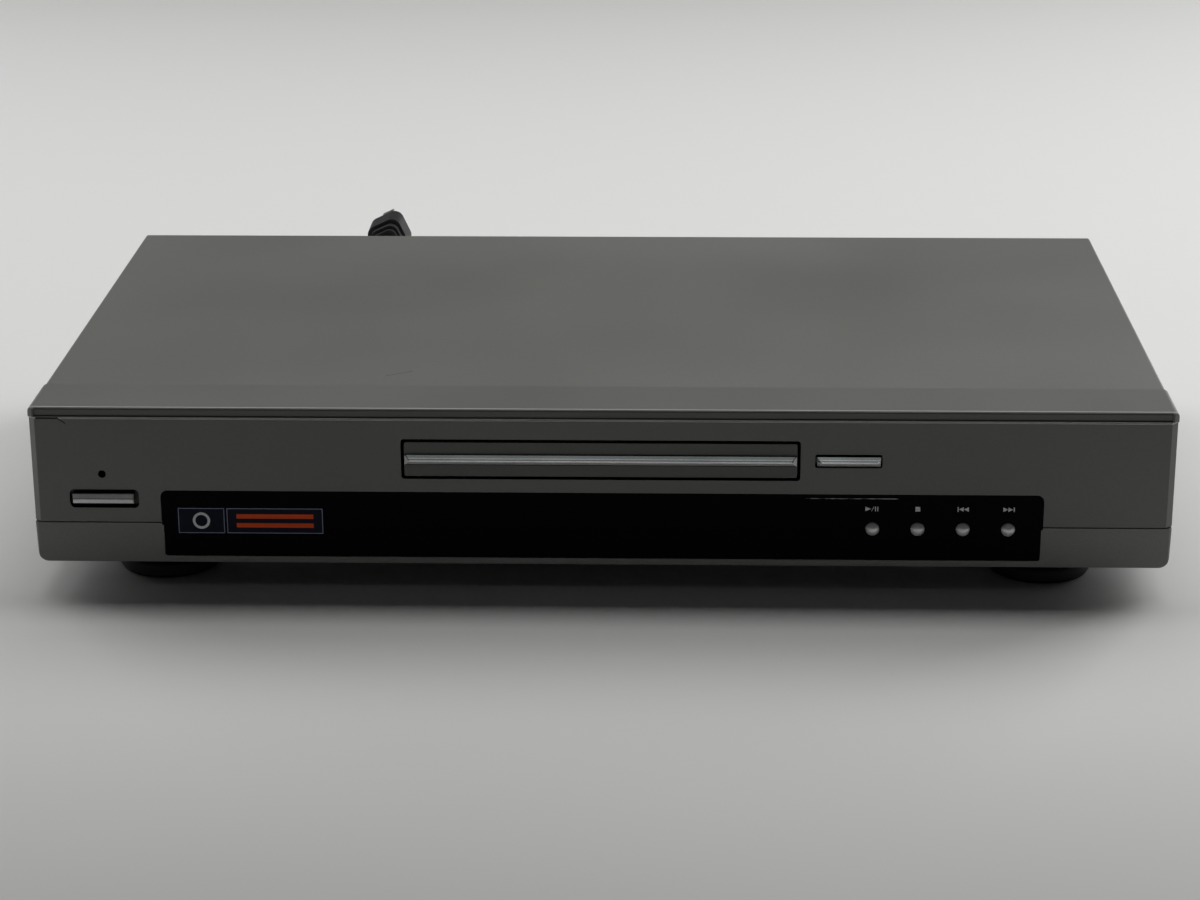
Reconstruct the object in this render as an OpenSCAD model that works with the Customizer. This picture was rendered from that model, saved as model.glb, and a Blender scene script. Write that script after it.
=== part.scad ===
// Disc player with a motor-driven tray, in millimetres.
// +Z is up, the front faces -Y, and the origin is under the middle of the player, on the floor.

/* [Case] */
// Width of the front moulding
body_w = 430; // [425:1:445]
// Depth from the front face to the back of the cover
body_d = 250; // [245:1:270]
// Height of the top of the front moulding over the floor
body_h = 73.4; // [73:0.1:80]
// Height of the feet under the case
foot_h = 11.7; // [9:0.1:12.5]
// Wall of the front mouldings
wall = 2.5; // [2.2:0.1:2.8]
// Thickness of the sheet steel
sheet_t = 0.8; // [0.6:0.1:1]
// Depth of the front moulding's top, back to the seam with the cover
nose_d = 28.3; // [24:0.1:34]
// How far each side of the cover stands in from the front moulding
cover_inset = 0.8; // [0.5:0.05:3]
// Bend radius at the cover's long edges
cover_bend = 1.3; // [1.2:0.1:4]
// Width of the gaps between the case's pieces
seam = 0.45; // [0.2:0.05:0.6]
// Side of the bevel down each front corner
corner_bevel = 2.5; // [1.5:0.1:4]
// Depth of the flange that the cover turns down over the rear panel
cover_flange = 11; // [9:0.5:14]

/* [Front panel] */
// Height of the seam between the front moulding and the lower trim
seam_z = 27.6; // [26.5:0.1:28.5]
// Distance from the window to each end of the front
window_side = 48.5; // [45:0.5:52]
// Height of the window's top edge
window_top = 40.5; // [39:0.1:42]
// Height of the strip of trim under the window
trim_strip = 2.4; // [2:0.1:3]
// Radius of the window's top corners
window_r = 2.7; // [2:0.1:5]
// Thickness of the window
window_t = 2.2; // [1.8:0.1:2.5]
// Height of the middle of the tray's door
door_z = 53.6; // [53:0.1:54.5]
// Width of the tray's door
door_w = 147.4; // [144:0.2:150]
// Height of the tray's door
door_h = 13.3; // [12.5:0.1:14]
// Gap around the tray's door
door_gap = 1.25; // [0.6:0.05:1.6]
// Height of the bar across the door
bar_h = 3.9; // [3:0.1:5]
// How far the bar stands out of the front face
bar_proud = 2.5; // [1.5:0.1:3.5]

/* [Buttons] */
// Width of the open and close button
open_w = 23.7; // [20:0.1:27]
// Height of the open and close button
open_h = 3.8; // [3:0.1:5]
// Distance from the door's end to the middle of the open and close button
open_gap = 19.25; // [18.5:0.05:22]
// Width of the power button
power_w = 23.1; // [20:0.1:26]
// Height of the power button
power_h = 3.8; // [3:0.1:5]
// Distance from the left end of the front to the middle of the power button
power_in = 26.8; // [25:0.1:28]
// Height of the middle of the power button
power_z = 37.1; // [36.8:0.1:38]
// Radius of the round buttons
round_r = 2.6; // [2.2:0.1:3]
// Distance from one round button to the next
round_pitch = 17; // [14:0.5:18]
// Distance from the right end of the front to the middle of the last round button
round_in = 61.6; // [60:0.1:66]
// Height of the round buttons
round_z = 26.6; // [24:0.1:28]
// How far a button moves when it is pressed
travel = 0.8; // [0.5:0.1:0.9]
// Radius of the standby lamp
led_r = 1.4; // [1:0.1:1.8]
// Height of the standby lamp
led_z = 46.9; // [46:0.1:49]

/* [Feet] */
// Radius of a foot's pad
foot_r = 19.7; // [16:0.1:22]
// Radius of a foot's neck
foot_neck_r = 15; // [11:0.1:15.5]
// Distance from each end of the front to the middle of a foot
foot_side = 45.8; // [35:0.1:55]
// Place of the front feet behind the front face
foot_y = 30.6; // [29:0.1:36]

/* [Tray and loader] */
// Diameter of a disc
disc_d = 120; // [120:1:121]
// Thickness of a disc
disc_t = 1.2; // [1.1:0.05:1.3]
// Width of the tray
tray_w = 132; // [130:0.5:134]
// Thickness of the tray
tray_t = 5.6; // [5:0.1:6]
// Depth of the recess that holds the disc
well_depth = 2.4; // [2:0.1:2.8]
// Middle of the disc behind the front face
disc_back = 78; // [77:0.5:79]
// Length of the tray that stays in the loader when it is out
tray_held = 40.5; // [38:0.5:41]
// How far the tray comes out
tray_travel = 145; // [120:1:146]
// Length of the loader frame
loader_l = 180; // [178:0.5:184]
// Wall of the loader frame
loader_wall = 2.5; // [2:0.1:3]
// Radius of the turntable
turntable_r = 15; // [13:0.1:15.5]
// Radius of the centre hole of a disc
hub_r = 7.5; // [7.4:0.05:7.5]
// Height that the turntable lifts the disc over its recess
disc_lift = 0.8; // [0.5:0.1:1]

/* [Gears] */
// Module of the rack on the tray
rack_m = 1; // [1:0.05:1.1]
// Teeth of the pinion that drives the rack
pinion_n = 20; // [19:1:21]
// Module of the gear wheel and the pulley's pinion
wheel_m = 0.8; // [0.7:0.05:0.85]
// Teeth of the gear wheel
wheel_n = 36; // [33:1:37]
// Teeth of the pulley's pinion
small_n = 12; // [12:1:14]
// Play between meshing teeth
backlash = 0.16; // [0.1:0.01:0.25]

/* [Pickup and traverse] */
// Angle by which the traverse sinks before the tray opens
tilt = 5; // [4:0.5:5]
// How far the pickup travels outwards
pickup_travel = 34; // [30:0.5:34.5]
// Radius of the guide rods
rod_r = 1.5; // [1.2:0.1:2]
// Radius of the lead screw
screw_r = 1.7; // [1.4:0.1:2]
// Clearance of a shaft in its bore
run_fit = 0.05; // [0.03:0.01:0.08]

/* [Rear panel] */
// Outer radius of a phono socket's shell
rca_r = 4.15; // [4.1:0.05:4.2]
// Radius of a phono socket's centre hole
rca_pin_r = 1.6; // [1.55:0.05:1.7]
// Depth of a phono socket's centre hole
rca_depth = 7.5; // [6:0.1:7.5]
// How far the phono sockets stand out of the rear panel
rca_proud = 8.5; // [7:0.1:9]
// Distance between phono sockets
rca_pitch = 16; // [14:0.5:17]

/* [Cord] */
// Diameter of the mains cord
cord_d = 5; // [4:0.1:6]

/* [Hidden] */
$fn = 64;

// Small amount by which a cutter passes the face it cuts
eps = 0.5;

// Places along Y: the bar on the door is the foremost point and the phono sockets the rearmost
front_y = bar_proud - (bar_proud + body_d + rca_proud) / 2;
rear_y = front_y + body_d;
cover_y = front_y + nose_d + seam;
panel_y = rear_y - sheet_t; // back of the rear panel, against the cover's flange

// Heights of the case
cover_top = body_h - 0.2;
chassis_z = foot_h + 0.3;
floor_z = chassis_z + sheet_t;
cover_half = body_w / 2 - cover_inset;
inner_half = cover_half - sheet_t;

// Places along X on the front
window_w = body_w - 2 * window_side;
open_x = door_w / 2 + open_gap;
power_x = body_w / 2 - power_in;
round_n = 4;
round_x = body_w / 2 - round_in - (round_n - 1) * round_pitch;

// Nose band along the top of the front moulding
nose_z = body_h - 4.1;
nose_side = 0.2;
nose_round = 2.2;
lip = 0.25;

// Ends of the lower trim, which lean in towards the bottom
trim_side = 0.2;
trim_taper = 0.55;
trim_corner_r = 4;

// Window and its back plate
window_y = front_y + 0.3;
window_gap = 0.15;
plate_lap = 2.5;
plate_t = 1;
window_back = front_y + wall + plate_t;
window_bottom = foot_h + trim_strip;

// Front board and what stands on it
board_t = 1.6;
board_y = front_y + 9.4;
board_z0 = foot_h + 3;
board_z1 = window_top + 0.5;
switch_t = 3;
plunger_t = 0.6;
plunger_y = board_y - switch_t - plunger_t;
stem_end = plunger_y - travel - 0.1;
flange_gap = 0.3;

// Levels of the loader, down from the tray
tray_top = door_z + 3.4;
tray_z = tray_top - tray_t;
well_z = tray_top - well_depth;
disc_z = well_z + disc_lift;
guide_gap = 0.3;
wall_top = tray_top + 2;
bridge_t = 1.7;
rack_h = 3.2;
rack_z = tray_z - rack_h;
pinion_z = rack_z - 0.4;
pinion_h = rack_h - 0.2;
wheel_h = 4;
wheel_z = pinion_z - wheel_h - 0.5;
pulley_h = 4;
pulley_z = wheel_z - pulley_h - 1.8;
loader_z = 24;
loader_floor_t = 2;
loader_top = loader_z + loader_floor_t;
side_gap = 0.5;
loader_half = tray_w / 2 + side_gap + loader_wall;

// Places of the loader
disc_y = front_y + disc_back;
tray_y0 = front_y + wall;
tray_y1 = tray_y0 + tray_travel + tray_held;
loader_y0 = front_y + 14;
loader_y1 = loader_y0 + loader_l;
drive_y = loader_y0 + 20;
pinion_rp = rack_m * pinion_n / 2;
rack_back_x = -(tray_w / 2 - 4);
rack_pitch_x = rack_back_x + 2.75 + rack_m * 1.25;
drive_x = rack_pitch_x + pinion_rp;
mesh_angle = -12;
gear_distance = wheel_m * (wheel_n + small_n) / 2;
small_x = drive_x + gear_distance * cos(mesh_angle);
small_y = drive_y + gear_distance * sin(mesh_angle);
pulley_r = 10;
motor_pulley_r = 3;
motor_x = 15;
belt_t = 1;
post_r = 2;
small_post_r = 1.5;

// Traverse, pickup and cam
traverse_t = 4;
pivot_drop = 11.4;
pivot_z = tray_z - pivot_drop;
traverse_z = pivot_z - traverse_t / 2;
traverse_top = traverse_z + traverse_t;
traverse_half = 42;
traverse_y0 = disc_y - 22;
pivot_y = disc_y + 86;
traverse_y1 = pivot_y + 6;
pivot_r = 2;
ear_x = traverse_half + 4;
ear_t = 3;
spindle_motor_r = 11;
spindle_motor_h = 5;
sled_y0 = disc_y + 12.5;
sled_l = 28.5;
lens_y = disc_y + 24;
rod_x = 22;
well_y0 = disc_y + 12;
well_y1 = well_y0 + sled_l + pickup_travel + 1.5;
screw_x = 31;
journal_r = 1;
bracket_t = 1.8;
sled_motor_r = 6.5;
sled_motor_l = 12;
pin_r = 1.5;
cam_y0 = traverse_y0 - 11;
cam_t = 5;
cam_gap = 0.25;
cam_rail_t = 1.6;
cam_rail_h = 1.8;
cam_travel = 20;
cam_slope = (pivot_y - (cam_y0 + cam_t / 2)) * sin(tilt);
cam_x = 10; // place of the pin in the slider at rest

// Boards
standoff_z = floor_z + 8;
board_gap = 8.4; // from a board to the cover's side
board_end = inner_half - board_gap;
main_x = [loader_half + 11, board_end];
main_y = [front_y + 90, panel_y - sheet_t - 3];
power_x0 = -board_end;
power_x1 = -(loader_half + 17);
power_y = [front_y + 80, panel_y - sheet_t - 14];
hole_in = 5;

// Sockets
rca_end = 8; // housing beyond the middle of its end sockets
rca_x = main_x[0] + rca_end + 1;
rca_rows = [30, 47];
rca_cols = 4;
rca_last = rca_x + (rca_cols - 1) * rca_pitch;
svideo_half = 7;
svideo_r = 5.6;
optical_half = 5;
optical_x = main_x[1] - 12;
svideo_x = (rca_last + rca_end + optical_x - optical_half) / 2;
socket_z = 38.5;

// Cord route: a round number for each point, in the order that the cord runs
gland_x = -165;
gland_z = 30;
gland_l = 28;
gland_r = 5;
gland_tip_r = cord_d / 2 + 0.6;
cord_r = cord_d / 2;
hank_x = [-110, -20];
hank_y = 200;
hank_in_r = 15.5;
hank_turn = 5.1;
hank_turns = 2;
hank_layers = 2;
hank_out_r = hank_in_r + hank_turn * (hank_turns - 1) + cord_r + 0.3;
hank_h = cord_d + hank_turn * (hank_layers - 1) + 0.1;
plug_x = -127.2;
plug_y = 340;
plug_z = 11;
plug_lean = -25;
plug_w = 18.8;
plug_h = 19;
plug_l = 26;
bush_l = 22;
blade_l = 17;
blade_w = 6.3;
blade_t = 1.5;
blade_pitch = 12.7;
exit_y = rear_y + gland_l;
first_run = [
    [gland_x, exit_y, gland_z], [-165, 159, 28.4], [-165, 167.4, 23.7], [-165, 173.5, 16.3],
    [-165, 179.6, 8.9], [-165, 187.8, 4.2], [-165, 198, 2.6], [-162, 209.6, 2.6],
    [-154, 217.6, 2.6], [-143, 220.6, 2.6], [-132, 220.6, 2.6], [-122, 220.6, 2.6], [-112, 220.6, 2.6]];
second_run = [
    [-130.6, 202, 7.7], [-130.6, 213, 7.8], [-131, 224, 7.6], [-132.6, 236, 6],
    [-135.2, 248, 4], [-137.6, 259, 2.8], [-139, 270, 2.6], [-138.4, 281, 3],
    [-135.8, 291.5, 4.6], [-132.4, 301, 7.2], [-129.2, 310, 9.8],
    [plug_x, plug_y - bush_l, plug_z]];

// ---------- shapes used by several pieces ----------

// Extrudes an outline drawn in X and Z backwards from y
module back_from(y, depth) translate([0, y + depth, 0]) rotate([90, 0, 0]) linear_extrude(depth) children();

// Extrudes an outline drawn in Y and Z to the right from x
module right_from(x, width) translate([x, 0, 0]) rotate([90, 0, 90]) linear_extrude(width) children();

// Block between two corners
module block(a, b) translate(a) cube(b - a);

// Upright cylinder between two heights
module post(x, y, z0, z1, r) translate([x, y, z0]) cylinder(r = r, h = z1 - z0);

// Cylinder along Y between two places
module rod_y(x, z, y0, y1, r) translate([x, y1, z]) rotate([90, 0, 0]) cylinder(r = r, h = y1 - y0);

// Cylinder along X between two places
module rod_x(y, z, x0, x1, r) translate([x0, y, z]) rotate([0, 90, 0]) cylinder(r = r, h = x1 - x0);

// Rectangle with round corners between two corner points
module round_rect(a, b, r) {
    translate([a[0] + r, a[1]]) square([b[0] - a[0] - 2 * r, b[1] - a[1]]);
    translate([a[0], a[1] + r]) square([b[0] - a[0], b[1] - a[1] - 2 * r]);
    for (x = [a[0] + r, b[0] - r], y = [a[1] + r, b[1] - r]) translate([x, y]) circle(r);
}

// Rectangle round at its top corners only
module round_top(a, b, r) {
    translate([a[0] + r, a[1]]) square([b[0] - a[0] - 2 * r, b[1] - a[1]]);
    translate(a) square([b[0] - a[0], b[1] - a[1] - r]);
    for (x = [a[0] + r, b[0] - r]) translate([x, b[1] - r]) circle(r);
}

// Long bar with a ridge along its front: its foot at y0, shoulders at y1 and ridge at y2
module ridged_bar(w, h, y0, y1, y2, end) {
    a = w / 2;
    b = h / 2;
    polyhedron(
        points = [[-a, y0, -b], [a, y0, -b], [a, y0, b], [-a, y0, b],
            [-a, y1, -b], [a, y1, -b], [a, y1, b], [-a, y1, b],
            [-a + end, y2, -0.05], [a - end, y2, -0.05], [a - end, y2, 0.05], [-a + end, y2, 0.05]],
        faces = [[0, 1, 2, 3], [4, 5, 1, 0], [5, 6, 2, 1], [6, 7, 3, 2], [7, 4, 0, 3],
            [8, 9, 5, 4], [9, 10, 6, 5], [10, 11, 7, 6], [11, 8, 4, 7], [11, 10, 9, 8]]);
}

// Involute of a gear: polar angle lost between the base circle and radius r, in degrees
function involute(rb, r) = let(a = acos(min(1, rb / r))) tan(a) * 180 / PI - a;
function polar(r, a) = [r * cos(a), r * sin(a)];

// Outline of a gear with a tooth on the X axis
module gear(m, n) {
    rp = m * n / 2;
    rb = rp * cos(20);
    ra = rp + m;
    rr = rp - 1.25 * m;
    half = 90 / n - backlash / 4 / rp * 180 / PI + involute(rb, rp);
    r0 = max(rb, rr);
    steps = [for (i = [0:4]) r0 + (ra - r0) * i / 4];
    polygon([for (t = [0:n - 1]) let(c = t * 360 / n) each concat(
        [polar(rr, c - half)],
        [for (r = steps) polar(r, c - half + involute(rb, r))],
        [for (i = [0:4]) let(r = steps[4 - i]) polar(r, c + half - involute(rb, r))],
        [polar(rr, c + half)])]);
}

// Small cross-head screw along +Z, with its head's underside at z = 0
screw_shank_r = 1.45;
screw_hole_r = 1.6;
screw_head_r = 3;
screw_head_h = 1.5;
module screw(l) {
    translate([0, 0, -l]) cylinder(r = screw_shank_r, h = l);
    difference() {
        cylinder(r = screw_head_r, h = screw_head_h);
        for (a = [0, 90]) rotate(a) translate([-1.8, -0.3, screw_head_h - 0.8]) cube([3.6, 0.6, 1]);
    }
}

// Tube swept along points, with its rings square to the route
function unit(v) = v / norm(v);
function heading(p, i) = unit(p[min(i + 1, len(p) - 1)] - p[max(i - 1, 0)]);
module tube(p, r, sides = 12) {
    rings = [for (i = [0:len(p) - 1])
        let(t = heading(p, i), u = unit(cross(t, [0, 0, 1])), v = cross(u, t))
        [for (k = [0:sides - 1]) p[i] + r * (cos(k * 360 / sides) * u + sin(k * 360 / sides) * v)]];
    last = (len(p) - 1) * sides;
    polyhedron(
        points = [for (ring = rings) each ring],
        faces = concat(
            [[for (k = [0:sides - 1]) sides - 1 - k]],
            [for (i = [0:len(p) - 2], k = [0:sides - 1]) let(n = (k + 1) % sides)
                [i * sides + n, (i + 1) * sides + n, (i + 1) * sides + k, i * sides + k]],
            [[for (k = [0:sides - 1]) last + k]]));
}

// ---------- the case ----------

// Outline of the front mouldings seen from above, bevelled at the front corners
module front_plan(side, front, bevel) {
    a = body_w / 2 + side;
    y = front_y - front;
    polygon([[-a, front_y + nose_d], [-a, y + bevel], [-a + bevel, y],
        [a - bevel, y], [a, y + bevel], [a, front_y + nose_d]]);
}

// Section through the front moulding's face and top
module bezel_section() polygon([
    [front_y, seam_z + seam / 2], [front_y, nose_z - 0.35], [front_y + 0.45, nose_z - 0.1],
    [front_y + 0.45, nose_z + 0.2], [front_y - lip, nose_z + 0.3], [front_y - lip, nose_z + 0.55],
    [front_y + 0.35, nose_z + 0.85], [front_y + 0.15, body_h - 1], [front_y + 0.25, body_h - 0.45],
    [front_y + 0.6, body_h - 0.1], [front_y + 1.2, body_h],
    [front_y + nose_d, body_h], [front_y + nose_d, body_h - wall],
    [front_y + wall, body_h - wall], [front_y + wall, seam_z + seam / 2]]);

module front_bezel() color([0.2, 0.2, 0.19]) difference() {
    intersection() {
        union() {
            right_from(-body_w / 2 - nose_side, body_w + 2 * nose_side) bezel_section();
            for (s = [-1, 1]) block(
                [s > 0 ? body_w / 2 - wall : -body_w / 2 - nose_side, front_y - lip, seam_z + seam / 2],
                [s > 0 ? body_w / 2 + nose_side : -body_w / 2 + wall, front_y + nose_d, body_h]);
            for (s = [-1, 1]) translate([s * (body_w / 2 - wall), front_y + wall, seam_z + seam / 2])
                rotate(s > 0 ? 180 : -90)
                linear_extrude(body_h - seam_z - wall) polygon([[0, 0], [wall, 0], [0, -wall]]);
        }
        union() {
            translate([0, 0, seam_z]) linear_extrude(nose_z + 0.1 - seam_z)
                front_plan(0, 0, corner_bevel);
            intersection() {
                translate([0, 0, nose_z]) linear_extrude(body_h - nose_z + 1)
                    front_plan(nose_side, lip, corner_bevel - 0.6);
                back_from(front_y - lip - eps, nose_d + lip + 2 * eps) round_top(
                    [-body_w / 2 - nose_side, seam_z], [body_w / 2 + nose_side, body_h], nose_round);
            }
        }
    }
    window_cut(0);
    back_from(front_y - eps, wall + 2 * eps) round_rect(
        [-door_w / 2 - door_gap, door_z - door_h / 2 - door_gap],
        [door_w / 2 + door_gap, door_z + door_h / 2 + door_gap], 1.2);
    button_cut(open_x, door_z, open_w, open_h, [0.75, 0.75, 0.75], 0.8);
    button_cut(-power_x, power_z, power_w, power_h, [1.2, 2, 1.8], 2);
    rod_y(-power_x, led_z, front_y - eps, front_y + wall + eps, led_r + 0.1);
}

// Hole in the front for a long button, with gaps at its left, at its right, and over and under it
module button_cut(x, z, w, h, gaps, r) back_from(front_y - eps, wall + 2 * eps) round_rect(
    [x - w / 2 - gaps[0], z - h / 2 - gaps[2]], [x + w / 2 + gaps[1], z + h / 2 + gaps[2]], r);

// Opening for the window through the front moulding and the trim
module window_cut(inset) {
    a = window_w / 2 - inset;
    back_from(front_y - eps, wall + 2 * eps) {
        round_top([-a, seam_z - 1], [a, window_top - inset], window_r);
        round_rect([-a + 0.7, window_bottom + inset], [a - 0.7, window_top - 2 * window_r], 1);
    }
}

// Outline of the lower trim from the front, leaning in and round at its bottom corners
module trim_outline() {
    a = body_w / 2 - trim_side + trim_taper;
    b = body_w / 2 - trim_side - trim_taper;
    offset(r = trim_corner_r) offset(delta = -trim_corner_r)
        polygon([[-a, 2 * seam_z - foot_h], [a, 2 * seam_z - foot_h], [b, foot_h], [-b, foot_h]]);
}

module lower_trim() color([0.23, 0.23, 0.22]) difference() {
    intersection() {
        translate([0, 0, foot_h]) linear_extrude(seam_z - seam / 2 - foot_h) front_plan(0, 0, 1.2);
        back_from(front_y, nose_d) trim_outline();
    }
    block([-body_w / 2 + wall, front_y + wall, foot_h + 2],
        [body_w / 2 - wall, front_y + nose_d + eps, seam_z + eps]);
    block([-body_w / 2 + wall, front_y + 12, foot_h - eps],
        [body_w / 2 - wall, front_y + nose_d + eps, seam_z + eps]);
    window_cut(0);
}

module display_window() color([0.02, 0.02, 0.02]) difference() {
    union() {
        intersection() {
            window_cut(window_gap);
            block([-body_w / 2, window_y, foot_h], [body_w / 2, window_y + window_t, window_top]);
        }
        back_from(window_y + window_t - 0.1, window_back - window_y - window_t + 0.1)
            intersection() {
                round_rect([-window_w / 2 + window_gap + 0.7, window_bottom + window_gap],
                    [window_w / 2 - window_gap - 0.7, window_top - window_gap], 1);
                square([window_w, 4 * window_top], center = true);
            }
        back_from(window_back - plate_t, plate_t) round_rect(
            [-window_w / 2 - plate_lap, foot_h + 2.1],
            [window_w / 2 + plate_lap, window_top + plate_lap], 1);
    }
    for (i = [0:round_n - 1])
        rod_y(round_x + i * round_pitch, round_z, window_y - eps, window_back + eps, round_r + 0.35);
}

// Section across the cover: top and two sides bent from one sheet
module cover_section(half, top, r) difference() {
    round_top([-half, floor_z], [half, top], r);
    round_top([-half + sheet_t, floor_z - 1], [half - sheet_t, top - sheet_t], r - sheet_t / 2);
}

cover_screw_y = [cover_y + 45, rear_y - 45];
cover_screw_z = 22;
flange_screw_x = [-150, 0, 150];
module top_cover() color([0.4, 0.4, 0.38]) difference() {
    union() {
        back_from(cover_y, rear_y - cover_y) cover_section(cover_half, cover_top, cover_bend);
        block([-cover_half + 4, rear_y - sheet_t, cover_top - cover_flange],
            [cover_half - 4, rear_y, cover_top - sheet_t / 2]);
    }
    for (y = cover_screw_y) rod_x(y, cover_screw_z, -body_w, body_w, screw_hole_r);
    for (x = flange_screw_x)
        rod_y(x, cover_top - cover_flange / 2, rear_y - 2 * sheet_t, rear_y + eps, screw_hole_r);
    for (s = [-1, 1], i = [0:15], j = [0, 1])
        translate([s * cover_half, rear_y - 40 - i * 6, 36 + j * 16])
            cube([3 * sheet_t, 2, 11], center = true);
}

// Places of the loader's and the boards' fixing posts
loader_lugs = [for (s = [-1, 1], y = [loader_y0 + 12, loader_y1 - 14]) [s * (loader_half + 4.5), y]];
main_holes = [for (x = [main_x[0] + hole_in, main_x[1] - hole_in],
    y = [main_y[0] + hole_in, main_y[1] - 40]) [x, y]];
power_holes = [for (x = [power_x0 + hole_in, power_x1 - hole_in],
    y = [power_y[0] + hole_in, power_y[1] - hole_in]) [x, y]];
standoff_r = 3.5;
chassis_y0 = front_y + 12 + seam;
chassis_half = min(inner_half - 0.1, body_w / 2 - wall - seam); // inside the cover and the trim

module bottom_chassis() color([0.62, 0.63, 0.64]) difference() {
    union() {
        block([-chassis_half, chassis_y0, chassis_z], [chassis_half, panel_y - sheet_t, floor_z]);
        for (s = [-1, 1])
            block([s > 0 ? chassis_half - sheet_t : -chassis_half, front_y + nose_d + seam, chassis_z],
            [s > 0 ? chassis_half : -chassis_half + sheet_t, panel_y - sheet_t, chassis_z + 15]);
        block([-chassis_half + 20, chassis_y0, chassis_z],
            [chassis_half - 20, chassis_y0 + sheet_t, chassis_z + 9]);
        for (p = loader_lugs) post(p[0], p[1], floor_z - 0.1, loader_z, standoff_r);
        for (p = concat(main_holes, power_holes)) post(p[0], p[1], floor_z - 0.1, standoff_z, standoff_r);
    }
    for (p = concat(loader_lugs, main_holes, power_holes))
        post(p[0], p[1], floor_z, loader_z + 1, screw_shank_r);
    for (y = cover_screw_y) rod_x(y, cover_screw_z, -body_w, body_w, screw_shank_r);
    for (x = [-170:12:-110], y = [-40, 0, 40]) translate([x, y, floor_z]) cube([3, 26, 5], center = true);
    for (x = [-foot_x, foot_x], y = foot_rows) post(x, y, chassis_z - 1, floor_z + 1, screw_shank_r);
}

panel_foot_z = chassis_z;
module rear_panel() color([0.5, 0.5, 0.49]) difference() {
    back_from(panel_y - sheet_t, sheet_t) round_top(
        [-inner_half + 0.2, panel_foot_z], [inner_half - 0.2, cover_top - sheet_t - 0.1], cover_bend);
    for (i = [0:rca_cols - 1], z = rca_rows)
        rod_y(rca_x + i * rca_pitch, z, panel_y - 2, panel_y + 1, rca_r + 0.6);
    rod_y(svideo_x, socket_z, panel_y - 2, panel_y + 1, svideo_r + 0.2);
    back_from(panel_y - 2, 4)
        round_rect([optical_x - 5.2, socket_z - 5.2], [optical_x + 5.2, socket_z + 5.2], 0.6);
    back_from(panel_y - 2, 4) round_rect([gland_x - gland_r - 0.1, gland_z - gland_r - 0.1],
        [gland_x + gland_r + 0.1, gland_z + gland_r + 0.1], 1.5);
    for (x = flange_screw_x)
        rod_y(x, cover_top - cover_flange / 2, panel_y - 2, panel_y + 1, screw_shank_r);
    for (i = [0:17]) back_from(panel_y - 2, 4) round_rect([-90 + i * 8, 36], [-87 + i * 8, 54], 1.4);
}

module case_screws() color([0.15, 0.15, 0.15]) {
    for (y = cover_screw_y, s = [-1, 1]) translate([s * cover_half, y, cover_screw_z])
        rotate([0, s * 90, 0]) screw(4);
    for (x = flange_screw_x) translate([x, rear_y, cover_top - cover_flange / 2])
        rotate([-90, 0, 0]) screw(4);
}

foot_x = body_w / 2 - foot_side;
foot_rows = [front_y + foot_y, rear_y - foot_y - 4];
foot_step = 6;

// A moulded foot with a rubber-like pad: wide base, narrower neck, and a screw in its well
module foot(x, y) color([0.06, 0.06, 0.06]) translate([x, y, 0]) difference() {
    rotate_extrude() polygon([[0, 0], [foot_r - 2, 0], [foot_r - 0.8, 0.5], [foot_r, 1.8],
        [foot_r, foot_step - 1.4], [foot_r - 0.5, foot_step - 0.4], [foot_r - 1.6, foot_step],
        [foot_neck_r, foot_step], [foot_neck_r, chassis_z], [0, chassis_z]]);
    translate([0, 0, -eps]) cylinder(r = foot_neck_r - 8, h = foot_step + eps);
    cylinder(r = screw_hole_r, h = foot_h + 2);
}

// ---------- the tray and its door ----------

module tray_door() color([0.18, 0.18, 0.17]) back_from(front_y, wall)
    round_rect([-door_w / 2, door_z - door_h / 2], [door_w / 2, door_z + door_h / 2], 0.8);

module tray_door_bar() color([0.5, 0.53, 0.53]) translate([0, front_y, door_z])
    ridged_bar(door_w - 0.4, bar_h, 0, -0.9, -bar_proud, 1.7);

rack_pitch = PI * rack_m;
rack_lead = round(10.5 / rack_pitch); // whole teeth in front of the pinion
rack_y0 = drive_y - rack_lead * rack_pitch;
rack_teeth = floor((tray_y1 - rack_y0) / rack_pitch);

// Toothed side of the rack, a gap facing the pinion at rest
module rack_outline() {
    tip = rack_m * tan(20);
    half = rack_pitch / 4 - backlash / 4;
    foot = rack_m * 1.25 * tan(20);
    y_at = [for (i = [0:rack_teeth - 1]) rack_y0 + (i + 0.5) * rack_pitch];
    polygon(concat(
        [[rack_back_x, rack_y0]],
        [for (y = y_at) each [
            [rack_pitch_x - 1.25 * rack_m, y - half - foot], [rack_pitch_x + rack_m, y - half + tip],
            [rack_pitch_x + rack_m, y + half - tip], [rack_pitch_x - 1.25 * rack_m, y + half + foot]]],
        [[rack_back_x, rack_y0 + rack_teeth * rack_pitch]]));
}

slot_gap = 5.5; // around the turntable, which sinks through the slot
slot_half = turntable_r + slot_gap;
module disc_tray() color([0.13, 0.13, 0.13]) {
    difference() {
        translate([0, 0, tray_z]) linear_extrude(tray_t)
            round_rect([-tray_w / 2, tray_y0], [tray_w / 2, tray_y1], 0.6);
        post(0, disc_y, well_z, tray_top + eps, disc_d / 2 + 0.6);
        post(0, disc_y, well_z - 1.2, tray_top, 41);
        post(0, disc_y, tray_z - eps, tray_top, slot_half);
        block([-slot_half, disc_y, tray_z - eps], [slot_half, tray_y1 + eps, tray_top + eps]);
        for (s = [-1, 1]) block([s > 0 ? slot_half + 4 : -tray_w / 2 + 14, disc_y + 66, tray_z - eps],
            [s > 0 ? tray_w / 2 - 14 : -slot_half - 4, tray_y1 - 6, tray_top - 2]);
        for (s = [-1, 1]) post(s * 26, disc_y - disc_d / 2 + 3, well_z, tray_top + eps, 9);
    }
    translate([0, 0, rack_z]) linear_extrude(rack_h) rack_outline();
}

// ---------- buttons and what they press ----------

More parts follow.
